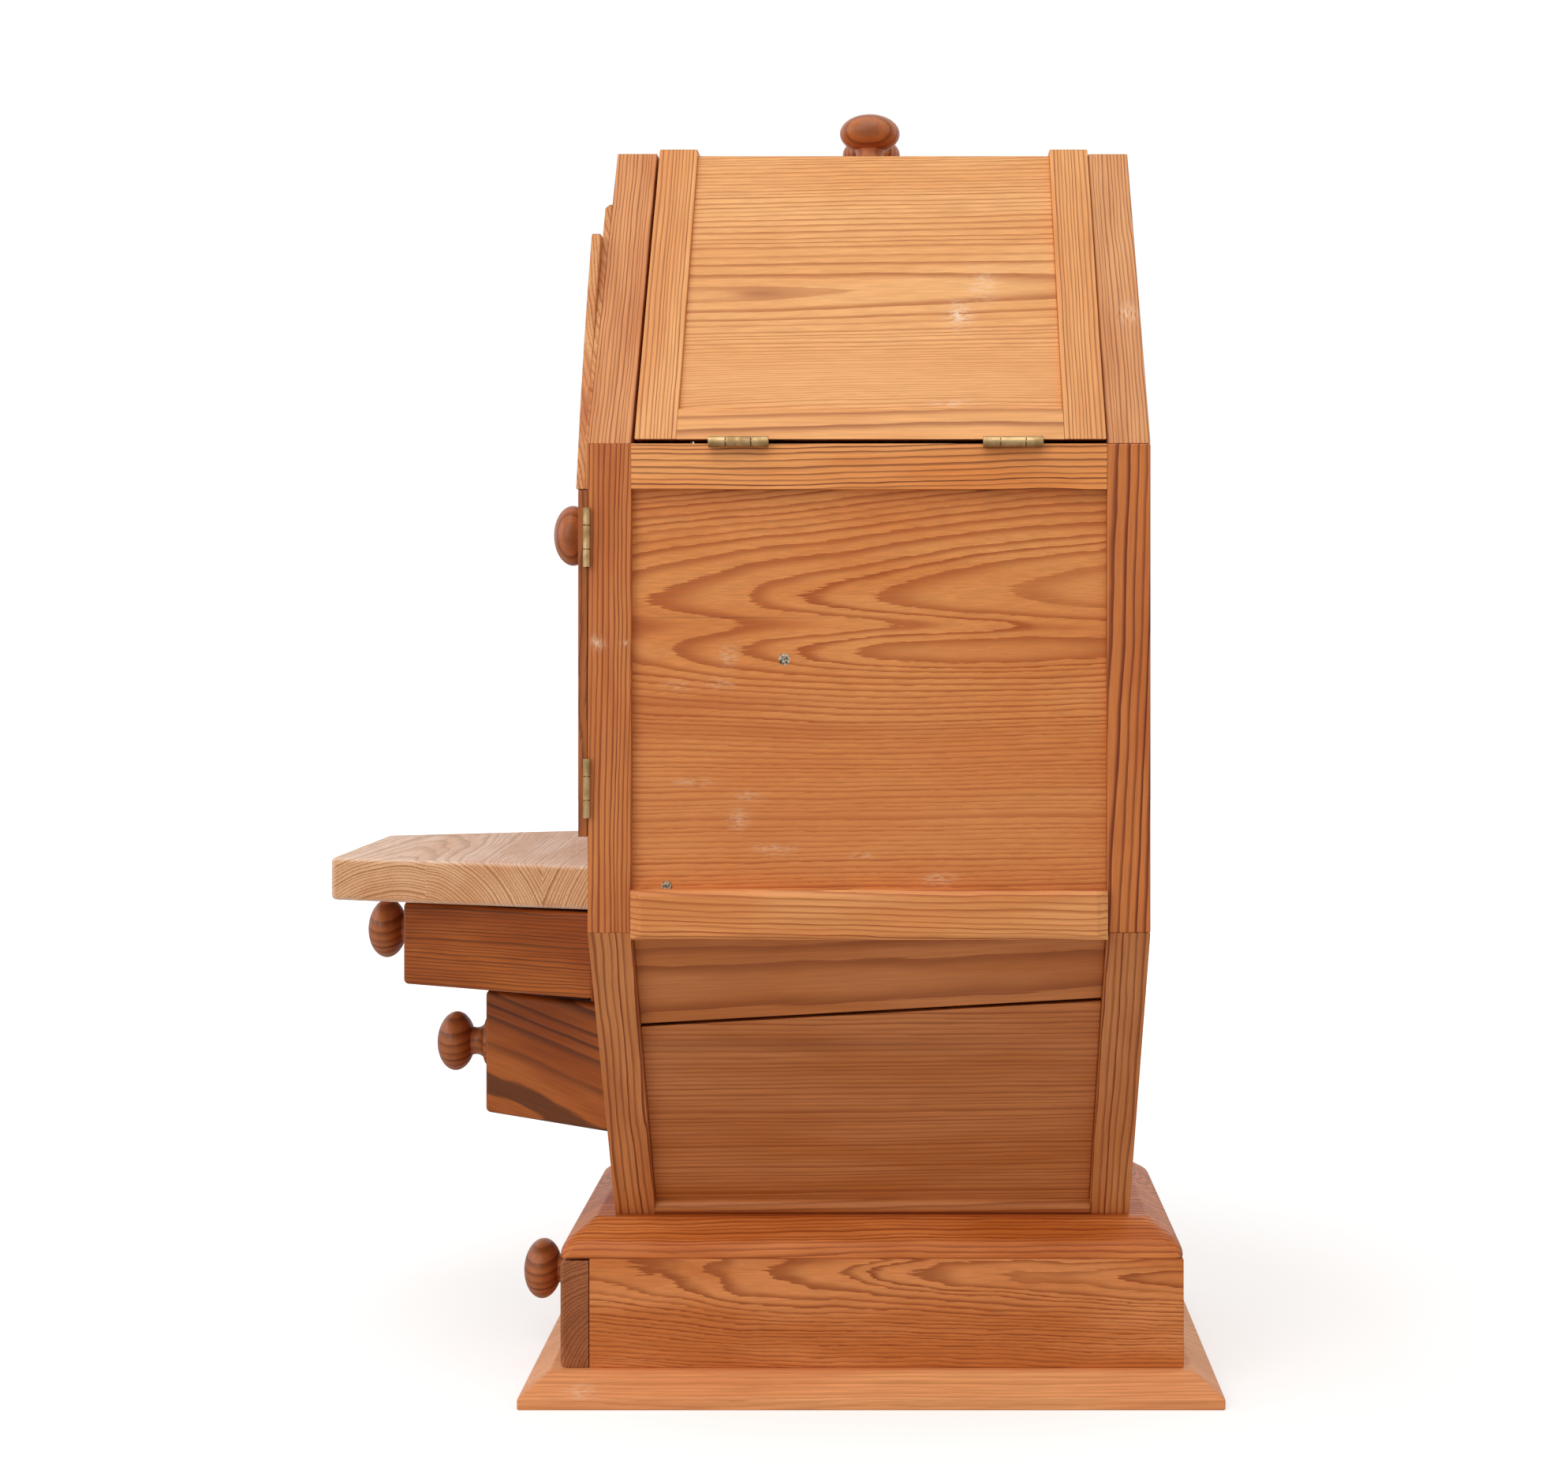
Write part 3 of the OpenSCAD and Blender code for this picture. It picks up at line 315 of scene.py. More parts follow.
    def material(self) -> bpy.types.Material:
        """Builds the finish.

        Returns:
            The material, which reads the attributes of a board: grain, end_grain, ring_mm and stain.
        """
        material, tree = blank_material(self.slot)
        grain = tree.add("Attribute", out="Vector", attribute_name="grain")
        ends = tree.add("Attribute", out="Fac", attribute_name="end_grain")
        stain = tree.add("Attribute", out="Fac", attribute_name="stain")
        place = tree.add("TexCoord", out="Object")
        fibre = FIBRES.draw(tree, grain)
        fibre_tone = FIBRES.tone(tree, fibre)
        late = self.rings(tree, grain, place, fibre)
        cloud = CLOUDS.tone(tree, CLOUDS.draw(tree, grain))
        wood = tree.add("Mix", {0: cloud, 6: linear(self.pale), 7: linear(self.mid)}, 2, **COLOUR)
        depth = tree.add("Math", (ends, self.depth), operation="MAXIMUM")
        share = tree.add("Math", (late, depth), operation="MULTIPLY")
        wood = tree.add("Mix", {0: share, 6: wood, 7: linear(self.dark)}, 2, **COLOUR)
        # The stain pales or deepens each board; on the pieces of the posts it is partly painted light from
        # above.
        wood = tree.add("Gamma", (wood, stain))
        grey = tree.add("MapRange", (fibre_tone, 0.0, 1.0, *self.fibre_tones))
        wood = tree.add("Mix", {0: 1.0, 6: wood, 7: grey}, 2, blend_type="MULTIPLY", **COLOUR)
        wood = tree.add(
            "Mix", {0: ends, 6: wood, 7: linear(self.end_tone)}, 2, blend_type="MULTIPLY", **COLOUR)
        wood = self.wear(tree, grain, place, wood)
        sheens = (self.roughness + rougher for rougher in self.rougher)
        sheen = tree.add("MapRange", (fibre_tone, 0.0, 1.0, *sheens))
        relief = tree.add("Math", (fibre_tone, 0.5), operation="MULTIPLY")
        relief = tree.add("Math", (late, 0.5, relief), operation="MULTIPLY_ADD")
        bump = tree.add("Bump", {"Strength": 0.35, "Distance": self.relief_mm * MM, "Height": relief})
        shader = tree.add("BsdfPrincipled", {
            "Base Color": wood, "Roughness": sheen, "Normal": bump, "IOR": 1.5,
            "Specular IOR Level": self.gloss, "Coat Weight": self.coat, "Coat Roughness": 0.2})
        tree.add("OutputMaterial", {"Surface": shader})
        return material


@dataclass(frozen=True)
class Metal:
    """Stamped hinge brass or turned screw steel, with a soft shine between dull and darker spots."""

    slot: str
    clean: str
    dull: str
    roughness: float
    # Size of the tarnish spots, the noise between which they fade in, and how much rougher they are
    spot_mm: float = 3.0
    low: float = 0.35
    high: float = 0.65
    rougher: float = 0.2
    relief_mm: float = 0.05

    def material(self) -> bpy.types.Material:
        """Builds the finish.

        Returns:
            The material, on object coordinates.
        """
        material, tree = blank_material(self.slot)
        place = tree.add("TexCoord", out="Object")
        stain = tree.add("TexNoise", {"Vector": place, "Scale": 1 / (self.spot_mm * MM), "Detail": 4.0})
        tarnish = tree.add("MapRange", (stain, self.low, self.high), **SMOOTH)
        colour = tree.add("Mix", {0: tarnish, 6: linear(self.clean), 7: linear(self.dull)}, 2, **COLOUR)
        rough = tree.add("MapRange", (tarnish, 0.0, 1.0, self.roughness, self.roughness + self.rougher))
        bump = tree.add("Bump", {"Strength": 0.08, "Distance": self.relief_mm * MM, "Height": stain})
        shader = tree.add("BsdfPrincipled", {
            "Base Color": colour, "Metallic": 1.0, "Roughness": rough, "Normal": bump})
        tree.add("OutputMaterial", {"Surface": shader})
        return material


class Finish(Enum):
    """Every finish of the cabinet. The plinth board is a paler board in the slot of the base."""

    POST = Pine(
        "post_pine", "#d78b4f", "#c6743a", "#742600", ring_mm=3.6, wander_mm=3.4, fray_mm=0.6,
        early=0.5, depth=1.0,
        scuffs=(
            Spot((244, -182, 543.5), (9, 5, 4), 0.7), Spot((244, -161, 543.5), (9, 4, 1.5), 0.6),
            Spot((176, 180, 774), (14, 7, 9), 0.6)))
    RAIL = Pine("rail_pine", "#f3a45f", "#e68c45", "#540f00", ring_mm=4.2, fray_mm=0.7, early=0.5, depth=1.0)
    PANEL = Pine(
        "panel_pine", "#e19350", "#d88341", "#a3470f", ring_mm=9.0, crowd=1.25, wander_mm=3.4, depth=0.85,
        knots=(
            Spot((238, 40, 556), (60, 260, 9), 1.3), Spot((238, 60, 532), (60, 220, 18), -3.6),
            Spot((238, 0, 500), (60, 300, 30), -3.0), Spot((238, 150, 655), (60, 170, 45), -1.8)),
        scuffs=(
            Spot((238, -94, 535), (9, 6, 7), 0.45), Spot((238, -129, 515), (9, 8, 3), 0.4),
            Spot((238, -99, 516), (9, 9, 3), 0.4), Spot((238, -82, 441), (9, 7, 3), 0.4),
            Spot((238, -88, 425), (9, 6, 7), 0.4), Spot((238, -64, 405), (9, 13, 3), 0.45),
            Spot((238, -119, 450), (9, 12, 2.5), 0.35), Spot((238, -4, 401), (9, 9, 2), 0.4),
            Spot((238, 47, 385), (9, 10, 4), 0.5)),
        marks=(
            Spot((238, -130, 503), (60, 120, 6), 0.5, "#b8622c"),
            Spot((238, -60, 485), (60, 170, 7), 0.5, "#b8622c"),
            Spot((238, 0, 425), (60, 400, 45), 0.4, "#d07f45"),
            Spot((238, -150, 378.5), (9, 3, 0.6)), Spot((238, -100, 560.5), (9, 60, 0.4), 0.4)))
    LOWER = Pine(
        "lower_pine", "#cc7f47", "#c07035", "#8f4414", ring_mm=5.4, crowd=1.1, wander_mm=2.6,
        fray_mm=1.2, depth=0.7, marks=(Spot((186, -60, 264), (30, 130, 5), 0.45, "#7f4526"),))
    LEDGE = Pine("ledge_pine", "#e89e5f", "#dc8a4a", "#9d450a", ring_mm=3.8, fray_mm=0.8, early=0.5)
    LID_FRAME = Pine(
        "lid_frame_pine", "#e9a564", "#de9352", "#8c400a", ring_mm=2.7, wander_mm=2.0, fray_mm=0.4,
        early=0.5, depth=1.0)
    LID_PANEL = Pine(
        "lid_panel_pine", "#eaaa69", "#e39d5b", "#b06327", ring_mm=18.0, crowd=1.6, wander_mm=3.0,
        fray_mm=1.0, early=0.5, knots=(Spot((215, 0, 700), (90, 400, 40), 14.0),),
        marks=(
            Spot((166, -77, 789), (30, 21, 4.2), 1.0, "#b06a38"),
            Spot((215, 0, 728), (90, 400, 22), 0.45, "#e6a263")),
        scuffs=(
            Spot((170, 62, 772), (60, 8, 9)), Spot((150, 78, 795), (60, 9, 12), 0.6),
            Spot((232, 55, 706), (30, 13, 2), 0.9)))
    FASCIA = Pine("fascia_pine", "#db9a5e", "#c2753e", "#a04d16", ring_mm=3.6, fray_mm=0.8)
    DOOR = Pine("door_pine", "#ab5f2a", "#984a1a", "#4f1f08", ring_mm=4.0, crowd=1.2)
    COUNTER = Pine(
        "counter_pine", "#f4d4bc", "#e8bd9e", "#a1744f", ring_mm=2.3, wander_mm=3.0, fray_mm=0.8,
        depth=0.5, end_tone="#edd2b0", roughness=0.6, coat=0.0)
    DRAWER = Pine(
        "drawer_pine", "#b36024", "#94440b", "#502504", ring_mm=2.6, wander_mm=4.0, fray_mm=0.5,
        early=0.5, gloss=0.22)
    PLINTH = Pine(
        "base_pine", "#f8ad70", "#ee9c62", "#bd7238", ring_mm=9.0, crowd=1.22, wander_mm=4.0, depth=0.5,
        scuffs=(Spot((148, -206, 12), (10, 10, 5), 0.5),))
    BASE = Pine("base_pine", "#e69151", "#d07634", "#954103", ring_mm=8.0, crowd=1.22, wander_mm=7.0)
    END_GRAIN = Pine(
        "end_grain_pine", "#b67449", "#a5643a", "#79431f", ring_mm=2.6, end_tone="#f0e2d8", roughness=0.6,
        coat=0.0)
    INNER = Pine(
        "inner_pine", "#dca06a", "#cf8f58", "#a0622f", ring_mm=5.0, crowd=1.2, roughness=0.6, coat=0.0)
    KNOB = Pine(
        "knob_pine", "#bf7140", "#b0612e", "#642e12", ring_mm=6.2, wander_mm=3.0, fray_mm=0.8, early=0.3,
        depth=0.85, end_tone="#e6ccb8", roughness=0.36, coat=0.08)
    BRASS = Metal("aged_brass", "#b99c70", "#9a7d54", 0.38, spot_mm=9.0)
    STEEL = Metal("screw_steel", "#c8baa0", "#4e4038", 0.36, spot_mm=1.5)


MADE: dict[Finish, bpy.types.Material] = {}


def material_of(finish: Finish) -> bpy.types.Material:
    """Returns a finish's material, built once."""
    if finish not in MADE:
        MADE[finish] = finish.value.material()
    return MADE[finish]


@dataclass(frozen=True)
class Grain:
    """How a board was cut from its tree.

    along is the direction of the tree's heart. heart is a point on it, as an offset in millimetres
    from the middle of the board, so a heart that leans against the board's face gives arches.
    ring_mm is the distance between its growth rings, where it isn't the finish's own. stain is how
    deep the board's colour has grown, with less than 1 for a paler board than its neighbours; on the
    pieces of the posts it also paints light, with the upper pieces, which lean up to the top light,
    made paler than the upright middle ones.
    """

    along: Vec
    heart: Vec = (0.0, 0.0, -60.0)
    ring_mm: float | None = None
    stain: float = 1.0


Rule = Callable[[Vector], Grain]
Plane = tuple[Vec, Vec]
# How close to a face, and to a cut, a point lies on it
TOUCH = 0.1 * MM
ON_CUT = 1e-7
# How close two points of a CAD mesh are to be one, and how flat two of its faces are to be one
ONE_POINT = 2e-6
ONE_FACE = math.radians(0.5)
# Width, steps and least angle of the rounding that leaves a hairline between glued boards
HAIRLINE = (0.12, 1, 60.0)
# Where the end grain starts as a face turns towards the tree's length, and how soon it is full
END_START, END_SPAN = 0.6, 0.35
# How far apart along the tree two boards were cut for each millimetre that they stand apart
TREE_STEP = 37.0


def islands(mesh: Mesh) -> list[list[bmesh.types.BMVert]]:
    """Tells the boards of a mesh apart.

    Args:
        mesh: one or more closed boards.

    Returns:
        The vertices of each board.
    """
    left = set(mesh.verts)
    found = []
    while left:
        start = left.pop()
        group = [start]
        stack = [start]
        while stack:
            for edge in stack.pop().link_edges:
                for vert in edge.verts:
                    if vert in left:
                        left.remove(vert)
                        group.append(vert)
                        stack.append(vert)
        found.append(group)
    return found


def half(source: Mesh, plane: Plane, side: float) -> Mesh:
    """Cuts a solid off at a plane.

    Args:
        source: the solid, which stays whole.
        plane: a point in millimetres and a normal.
        side: 1 to keep what is behind the plane, -1 to keep what is in front.

    Returns:
        A closed copy of what is kept.
    """
    piece = source.copy()
    normal = Vector(plane[1]) * side
    bmesh.ops.bisect_plane(
        piece, geom=piece.verts[:] + piece.edges[:] + piece.faces[:], dist=ON_CUT,
        plane_co=Vector(plane[0]) * MM, plane_no=normal, clear_outer=True)
    rim = [edge for edge in piece.edges if edge.is_boundary]
    if rim:
        bmesh.ops.holes_fill(piece, edges=rim, sides=0)
    return piece


def copied(node: str) -> Mesh:
    """Copies a CAD node's mesh without its needless edges.

    Args:
        node: the node's name.

    Returns:
        The copy, with its doubles merged.
    """
    mesh = bmesh.new()
    mesh.from_mesh(frame["nodes"][node].data)
    bmesh.ops.remove_doubles(mesh, verts=mesh.verts, dist=ONE_POINT)
    bmesh.ops.dissolve_limit(mesh, angle_limit=ONE_FACE, verts=mesh.verts, edges=mesh.edges)
    return mesh


def joined(parts: Sequence[Mesh]) -> Mesh:
    """Puts several meshes into one, as separate boards, and frees them.

    Args:
        parts: the meshes.

    Returns:
        The mesh that holds them all.
    """
    whole = bmesh.new()
    for part in parts:
        if part.faces:
            keep = bpy.data.meshes.new("part")
            part.to_mesh(keep)
            whole.from_mesh(keep)
            bpy.data.meshes.remove(keep)
        part.free()
    return whole


def prism(outline: Sequence[tuple[float, float]], low: float, high: float) -> Mesh:
    """Raises an upright prism.

    Args:
        outline: the x and y of each corner, in millimetres.
        low: the height of its foot.
        high: the height of its top.

    Returns:
        The closed prism.
    """
    mesh = bmesh.new()
    foot, top = ([mesh.verts.new((x * MM, y * MM, z * MM)) for x, y in outline] for z in (low, high))
    for i in range(len(outline)):
        mesh.faces.new((foot[i - 1], foot[i], top[i], top[i - 1]))
    mesh.faces.new(foot)
    mesh.faces.new(top)
    bmesh.ops.recalc_face_normals(mesh, faces=mesh.faces)
    return mesh


def parted(whole: Mesh, planes: Sequence[Plane]) -> Mesh:
    """Cuts a mesh into its boards.

    Args:
        whole: the mesh, which is freed.
        planes: a point in millimetres and a normal for each cut.

    Returns:
        One mesh that holds each board as a closed shape of its own.
    """
    parts = [whole]
    for plane in planes:
        halves = [half(part, plane, side) for part in parts for side in (1.0, -1.0)]
        for part in parts:
            part.free()
        parts = halves
    return joined(parts)


def bevel(mesh: Mesh, edges: list[bmesh.types.BMEdge], width: float, steps: int) -> None:
    """Takes edges off by a width in millimetres, round or, in one step, flat."""
    bmesh.ops.bevel(
        mesh, geom=edges, offset=width * MM, segments=steps, profile=0.5, affect="EDGES", clamp_overlap=True)


def ease(mesh: Mesh, width: float, steps: int = 2, least: float = 22.0) -> None:
    """Rounds each edge that is sharper than the least angle by a width in millimetres.

    Args:
        mesh: the mesh.
        width: the width of the rounding.
        steps: the number of steps round it.
        least: the least angle, in degrees.
    """
    sharp = [
        edge for edge in mesh.edges
        if len(edge.link_faces) == 2 and edge.calc_face_angle(0.0) > math.radians(least)]
    bevel(mesh, sharp, width, steps)


def mark_grain(target: bpy.types.Mesh, mesh: Mesh, rule: Rule, ring_mm: float) -> None:
    """Stores where each point of a board lay in its tree, and which faces show end grain.

    Args:
        target: the mesh data that takes the attributes.
        mesh: the same mesh, still as a bmesh.
        rule: gives each board's grain from the middle of the board.
        ring_mm: the distance between growth rings where the rule gives none.
    """
    mesh.verts.index_update()
    mesh.faces.index_update()
    values = [0.0] * (3 * len(mesh.verts))
    widths = [ring_mm] * len(mesh.verts)
    stains_and_painted_light = [1.0] * len(mesh.verts)
    ends = [0.0] * len(mesh.faces)
    for group in islands(mesh):
        low = Vector([min(v.co[i] for v in group) for i in range(3)])
        high = Vector([max(v.co[i] for v in group) for i in range(3)])
        middle = (low + high) / 2
        grain = rule(middle / MM)
        along = Vector(grain.along).normalized()
        side = along.orthogonal().normalized()
        third = along.cross(side)
        heart = middle / MM + Vector(grain.heart)
        seed = TREE_STEP * sum(abs(c) for c in middle / MM)
        for vert in group:
            offset = vert.co / MM - heart
            values[3 * vert.index:3 * vert.index + 3] = (
                offset.dot(along) + seed, offset.dot(side), offset.dot(third))
            widths[vert.index] = grain.ring_mm or ring_mm
            stains_and_painted_light[vert.index] = grain.stain
            for face in vert.link_faces:
                turned = abs(face.normal.dot(along))
                ends[face.index] = min(1.0, max(0.0, (turned - END_START) / END_SPAN))
    target.attributes.new("grain", "FLOAT_VECTOR", "POINT").data.foreach_set("vector", values)
    for name, domain, numbers in (
            ("ring_mm", "POINT", widths), ("stain", "POINT", stains_and_painted_light), ("end_grain", "FACE", ends)):
        target.attributes.new(name, "FLOAT", domain).data.foreach_set("value", numbers)


def linked(name: str, data: Any) -> bpy.types.Object:
    """Puts a new object with this data in the scene, at the origin.

    Args:
        name: the object's name.
        data: its mesh, lamp or camera.

    Returns:
        The object.
    """
    thing = bpy.data.objects.new(name, data)
    bpy.context.scene.collection.objects.link(thing)
    return thing


def dressed(node: str, made: str, mesh: Mesh, finish: Finish,
            rule: Rule | None = None) -> bpy.types.Object:
    """Turns a bmesh into the piece that rides with a CAD node's body and shows in its place.

    Args:
        node: the node's name.
        made: what the piece is made of or how, as the end of its name.
        mesh: its shape, which is freed.
        finish: its finish.
        rule: how its boards were cut from their trees, or None for metal.

    Returns:
        The piece, at the origin.
    """
    data = bpy.data.meshes.new(f"{node}_{made}")
    mesh.normal_update()
    mesh.to_mesh(data)
    if rule:
        mark_grain(data, mesh, rule, finish.value.ring_mm)
    mesh.free()
    data.materials.append(material_of(finish))
    piece = linked(f"{node}_{made}", data)
    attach(piece, frame["nodes"][node]["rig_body"])
    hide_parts(node)
    LOG.info("%s: %d faces", piece.name, len(piece.data.polygons))
    return piece


def board(node: str, finish: Finish, rule: Rule | Grain, planes: Sequence[Plane] = (),
          edge_mm: float = 0.9, shape: Callable[[Mesh], None] | None = None,
          glued: Sequence[Plane] = (), steps: int = 2) -> bpy.types.Object:
    """Dresses a CAD node as one or more boards.

    Args:
        node: the node's name.
        finish: the finish.
        rule: one grain for all its boards, or a function of a board's middle in millimetres.
        planes: where the node is cut into boards.
        edge_mm: how far its edges are eased.
        shape: further shaping before the edges are eased.
        glued: where boards are glued edge to edge, with just a hairline between them.
        steps: the number of steps round an eased edge.

    Returns:
        The piece that stands for the node.
    """
    mesh = parted(copied(node), planes)
    if shape:
        shape(mesh)
    ease(mesh, edge_mm, steps)
    if glued:
        mesh = parted(mesh, glued)
        ease(mesh, *HAIRLINE)
    each: Rule = (lambda middle: rule) if isinstance(rule, Grain) else rule
    return dressed(node, "pine", mesh, finish, each)


@dataclass(frozen=True)
class Body:
    """The barrel-shaped outline of the cabinet, in millimetres."""

    width: float = 490.0
    top_width: float = 158.0
    foot_width: float = 186.0
    foot_z: float = 124.8
    bend_z: float = 349.8
    hinge_z: float = 676.8
    top_z: float = 903.8

    def upper_slope(self, x: float) -> Vec:
        """Returns the direction of the leaning upper side on the side of x."""
        lean = (self.width - self.top_width) / 2
        return (-math.copysign(lean, x), 0.0, self.top_z - self.hinge_z)

    def lower_slope(self, x: float) -> Vec:
        """Returns the direction of the leaning lower side on the side of x."""
        lean = (self.width - self.foot_width) / 2
        return (math.copysign(lean, x), 0.0, self.bend_z - self.foot_z)


BODY = Body()


@dataclass
class Base:
    """Plinth, base case and cap board."""

    edge_mm: float = 1.2
    shoulder_mm: float = 6.5

    def round_shoulders(self, mesh: Mesh) -> None:
        """Rounds the edge between the bevel and the upright sides of the cap board.

        Args:
            mesh: the cap board.
        """
        out = max(vert.co.x for vert in mesh.verts)
        deep = max(vert.co.y for vert in mesh.verts)
        rim = {
            vert for vert in mesh.verts
            if abs(vert.co.x) > out - TOUCH and abs(vert.co.y) > deep - TOUCH}
        top = max(vert.co.z for vert in rim)
        edges = [
            edge for edge in mesh.edges if all(v in rim and v.co.z > top - TOUCH for v in edge.verts)]
        corners = [
            edge for edge in mesh.edges
            if any(v in rim and v.co.z > top - TOUCH for v in edge.verts)
            and edge.verts[0].co.z != edge.verts[1].co.z]
        bevel(mesh, edges + corners, self.shoulder_mm, 5)

    def build(self) -> None:
        """Dresses the fixed boards of the base."""
        board("plinth_board", Finish.PLINTH, Grain((0.0, 1, 0.01), (-60, 0, 130)), edge_mm=self.edge_mm)
        board("cap_board", Finish.BASE, Grain((0.0, 1, 0.02), (-60, 0, 130), 9.0, 1.1),
              edge_mm=self.edge_mm, shape=self.round_shoulders)
        board("base_sides", Finish.BASE, self.side_grain)
        board("base_back", Finish.BASE, Grain((1, 0.04, 0), (0, 40, 30)))

    @staticmethod
    def side_grain(middle: Vector) -> Grain:
        """Gives the two side boards of the case a leaning heart each."""
        return Grain((math.copysign(0.06, middle.x), 1, -0.01), (-math.copysign(12, middle.x), 0, 27), 5.0)


@dataclass
class Carcass:
    """Posts, rails, side boards, back and the boards inside. Lengths are in millimetres."""

    post_edge_mm: float = 0.9
    panel_edge_mm: float = 0.5
    # Heights of the heart of the middle panels and of the split between the lower side boards
    panel_heart_z: float = 574.0
    split_z: float = 290.0
    # Half the width between the uprights of the drawer frame, and the edges of its rails
    opening_x: float = 104.0
    frame_heights: tuple[float, ...] = (189.7, 282.7, 292.2)
    back_joints_x: tuple[float, float] = (-62.0, 75.0)
    ledge_cant_mm: float = 5.0
    # How far the rails are raised to lie flush with their hinge leaves
    leaf_mm: float = 0.5

    def build(self) -> None:
        """Dresses every fixed board of the body."""
        bends = [((0, 0, z), (0, 0, 1)) for z in (BODY.bend_z, BODY.hinge_z)]
        for node in ("front_post_right", "front_post_left", "back_post_right", "back_post_left"):
            board(node, Finish.POST, self.post_grain, bends, self.post_edge_mm)
        board("side_rails", Finish.RAIL, Grain((0.01, 1, 0.012), (0, 0, -75), 3.6), edge_mm=0.3,
              shape=self.let_in)
        board("middle_panels", Finish.PANEL, self.panel_grain, edge_mm=self.panel_edge_mm)
        board("ledge_strips", Finish.LEDGE, Grain((0.01, 1, -0.03), (0, 0, -75)), shape=self.cant_ends)
        board("lower_boards", Finish.LOWER, self.lower_grain, edge_mm=1.0)
        board("foot_strips", Finish.LOWER, Grain((0, 1, 0.02), (-10, 0, -40)), edge_mm=0.3)
        board("top_bars", Finish.RAIL, Grain((1, 0, 0.02), (0, 30, -40)))
        board("ridge_bar", Finish.RAIL, Grain((0, 1, 0.02), (30, 0, -40)))
        board("door_sill", Finish.RAIL, Grain((1, 0.02, 0.02), (0, 40, -50)))
        rails = [((0, 0, z), (0, 0, 1)) for z in self.frame_heights]
        board("drawer_frame", Finish.RAIL, self.frame_grain, rails, edge_mm=0.4)
        board("back_panel", Finish.INNER, self.back_grain, edge_mm=0.5,
              glued=[((x, 0, 0), (1, 0, 0)) for x in self.back_joints_x])
        board("deck", Finish.INNER, Grain((1, 0.03, 0.06), (0, 30, -50)), edge_mm=0.5)
        board("shelf", Finish.INNER, Grain((1, 0.03, 0.06), (0, -40, -55)), edge_mm=0.8)
        board("drawer_runners", Finish.INNER, Grain((0, 1, 0.02), (20, 0, -40)), edge_mm=0.5)

    def let_in(self, mesh: Mesh) -> None:
        """Raises the top of each side rail until it lies flush with its hinge leaves.

        Args:
            mesh: the two rails.
        """
        high = max(vert.co.z for vert in mesh.verts)
        for vert in mesh.verts:
            if vert.co.z > high - TOUCH:
                vert.co.z += self.leaf_mm * MM

    def cant_ends(self, mesh: Mesh) -> None:
        """Cants the two upright corners of each ledge strip that stand out from the side.

        Args:
            mesh: the two strips.
        """
        out = max(abs(vert.co.x) for vert in mesh.verts)
        edges = [
            edge for edge in mesh.edges
            if all(abs(vert.co.x) > out - TOUCH for vert in edge.verts)
            and abs(edge.verts[0].co.z - edge.verts[1].co.z) > self.ledge_cant_mm * MM]
        bevel(mesh, edges, self.ledge_cant_mm, 1)

    @staticmethod
    def post_grain(middle: Vector) -> Grain:
        """Runs the grain of each piece of a post along it.

        Args:
            middle: the middle of the board, in millimetres.

        Returns:
            The board's grain.
        """
        side = math.copysign(1.0, middle.x)
        end = math.copysign(1.0, middle.y)
        # The stain of each piece is partly the board's own tone and partly painted light: the upper pieces,
        # which lean up to the top light, are made paler than the upright middle ones.
        if middle.z > BODY.hinge_z:
            return Grain(BODY.upper_slope(middle.x), (-22 * side, 62 * end, -16), 2.5, 0.86 - 0.05 * end)
        if middle.z < BODY.bend_z:
            return Grain(BODY.lower_slope(middle.x), (-34 * side, -42 * end, 14), 3.3, 0.98 - 0.04 * end)
        if end < 0:
            return Grain((0.01 * side, 0.008, 1), (-14 * side, -64, 0), 3.0, 1.14)
        return Grain((0.012 * side, 0.03, 1), (-20 * side, -40, 0), 4.8, 1.22)

    def panel_grain(self, middle: Vector) -> Grain:
        """Leans the heart of each middle panel so that its arches point to the front."""
        side = math.copysign(1.0, middle.x)
        return Grain((0.085 * side, 1, 0.03), (-25 * side, 0, self.panel_heart_z - middle.z))

    @staticmethod
    def back_grain(middle: Vector) -> Grain:
        """Gives each board of the back a heart of its own, in front of it."""
        return Grain((0.02, 0.05, 1), (0.4 * middle.x - 12, -24 - 0.2 * abs(middle.x), 0))

    def lower_grain(self, middle: Vector) -> Grain:
        """Lays the heart of each lower side board inside it, or outside and above it.

        Args:
            middle: the middle of the board, in millimetres.

        Returns:
            The board's grain.
        """
        side = math.copysign(1.0, middle.x)
        if middle.z > self.split_z:
            return Grain((0.03 * side, 1, 0.05), (-52 * side, 0, 40), 7.5)
        return Grain((0.02 * side, 1, 0.008), (48 * side, 0, 148), 6.2)

    def frame_grain(self, middle: Vector) -> Grain:
        """Runs the rails between the drawers across, and the boards beside them upright."""
        if abs(middle.x) > self.opening_x:
            return Grain((0, 0, 1), (30, 30, 0))
        return Grain((1, 0, 0.02), (0, 40, -35))


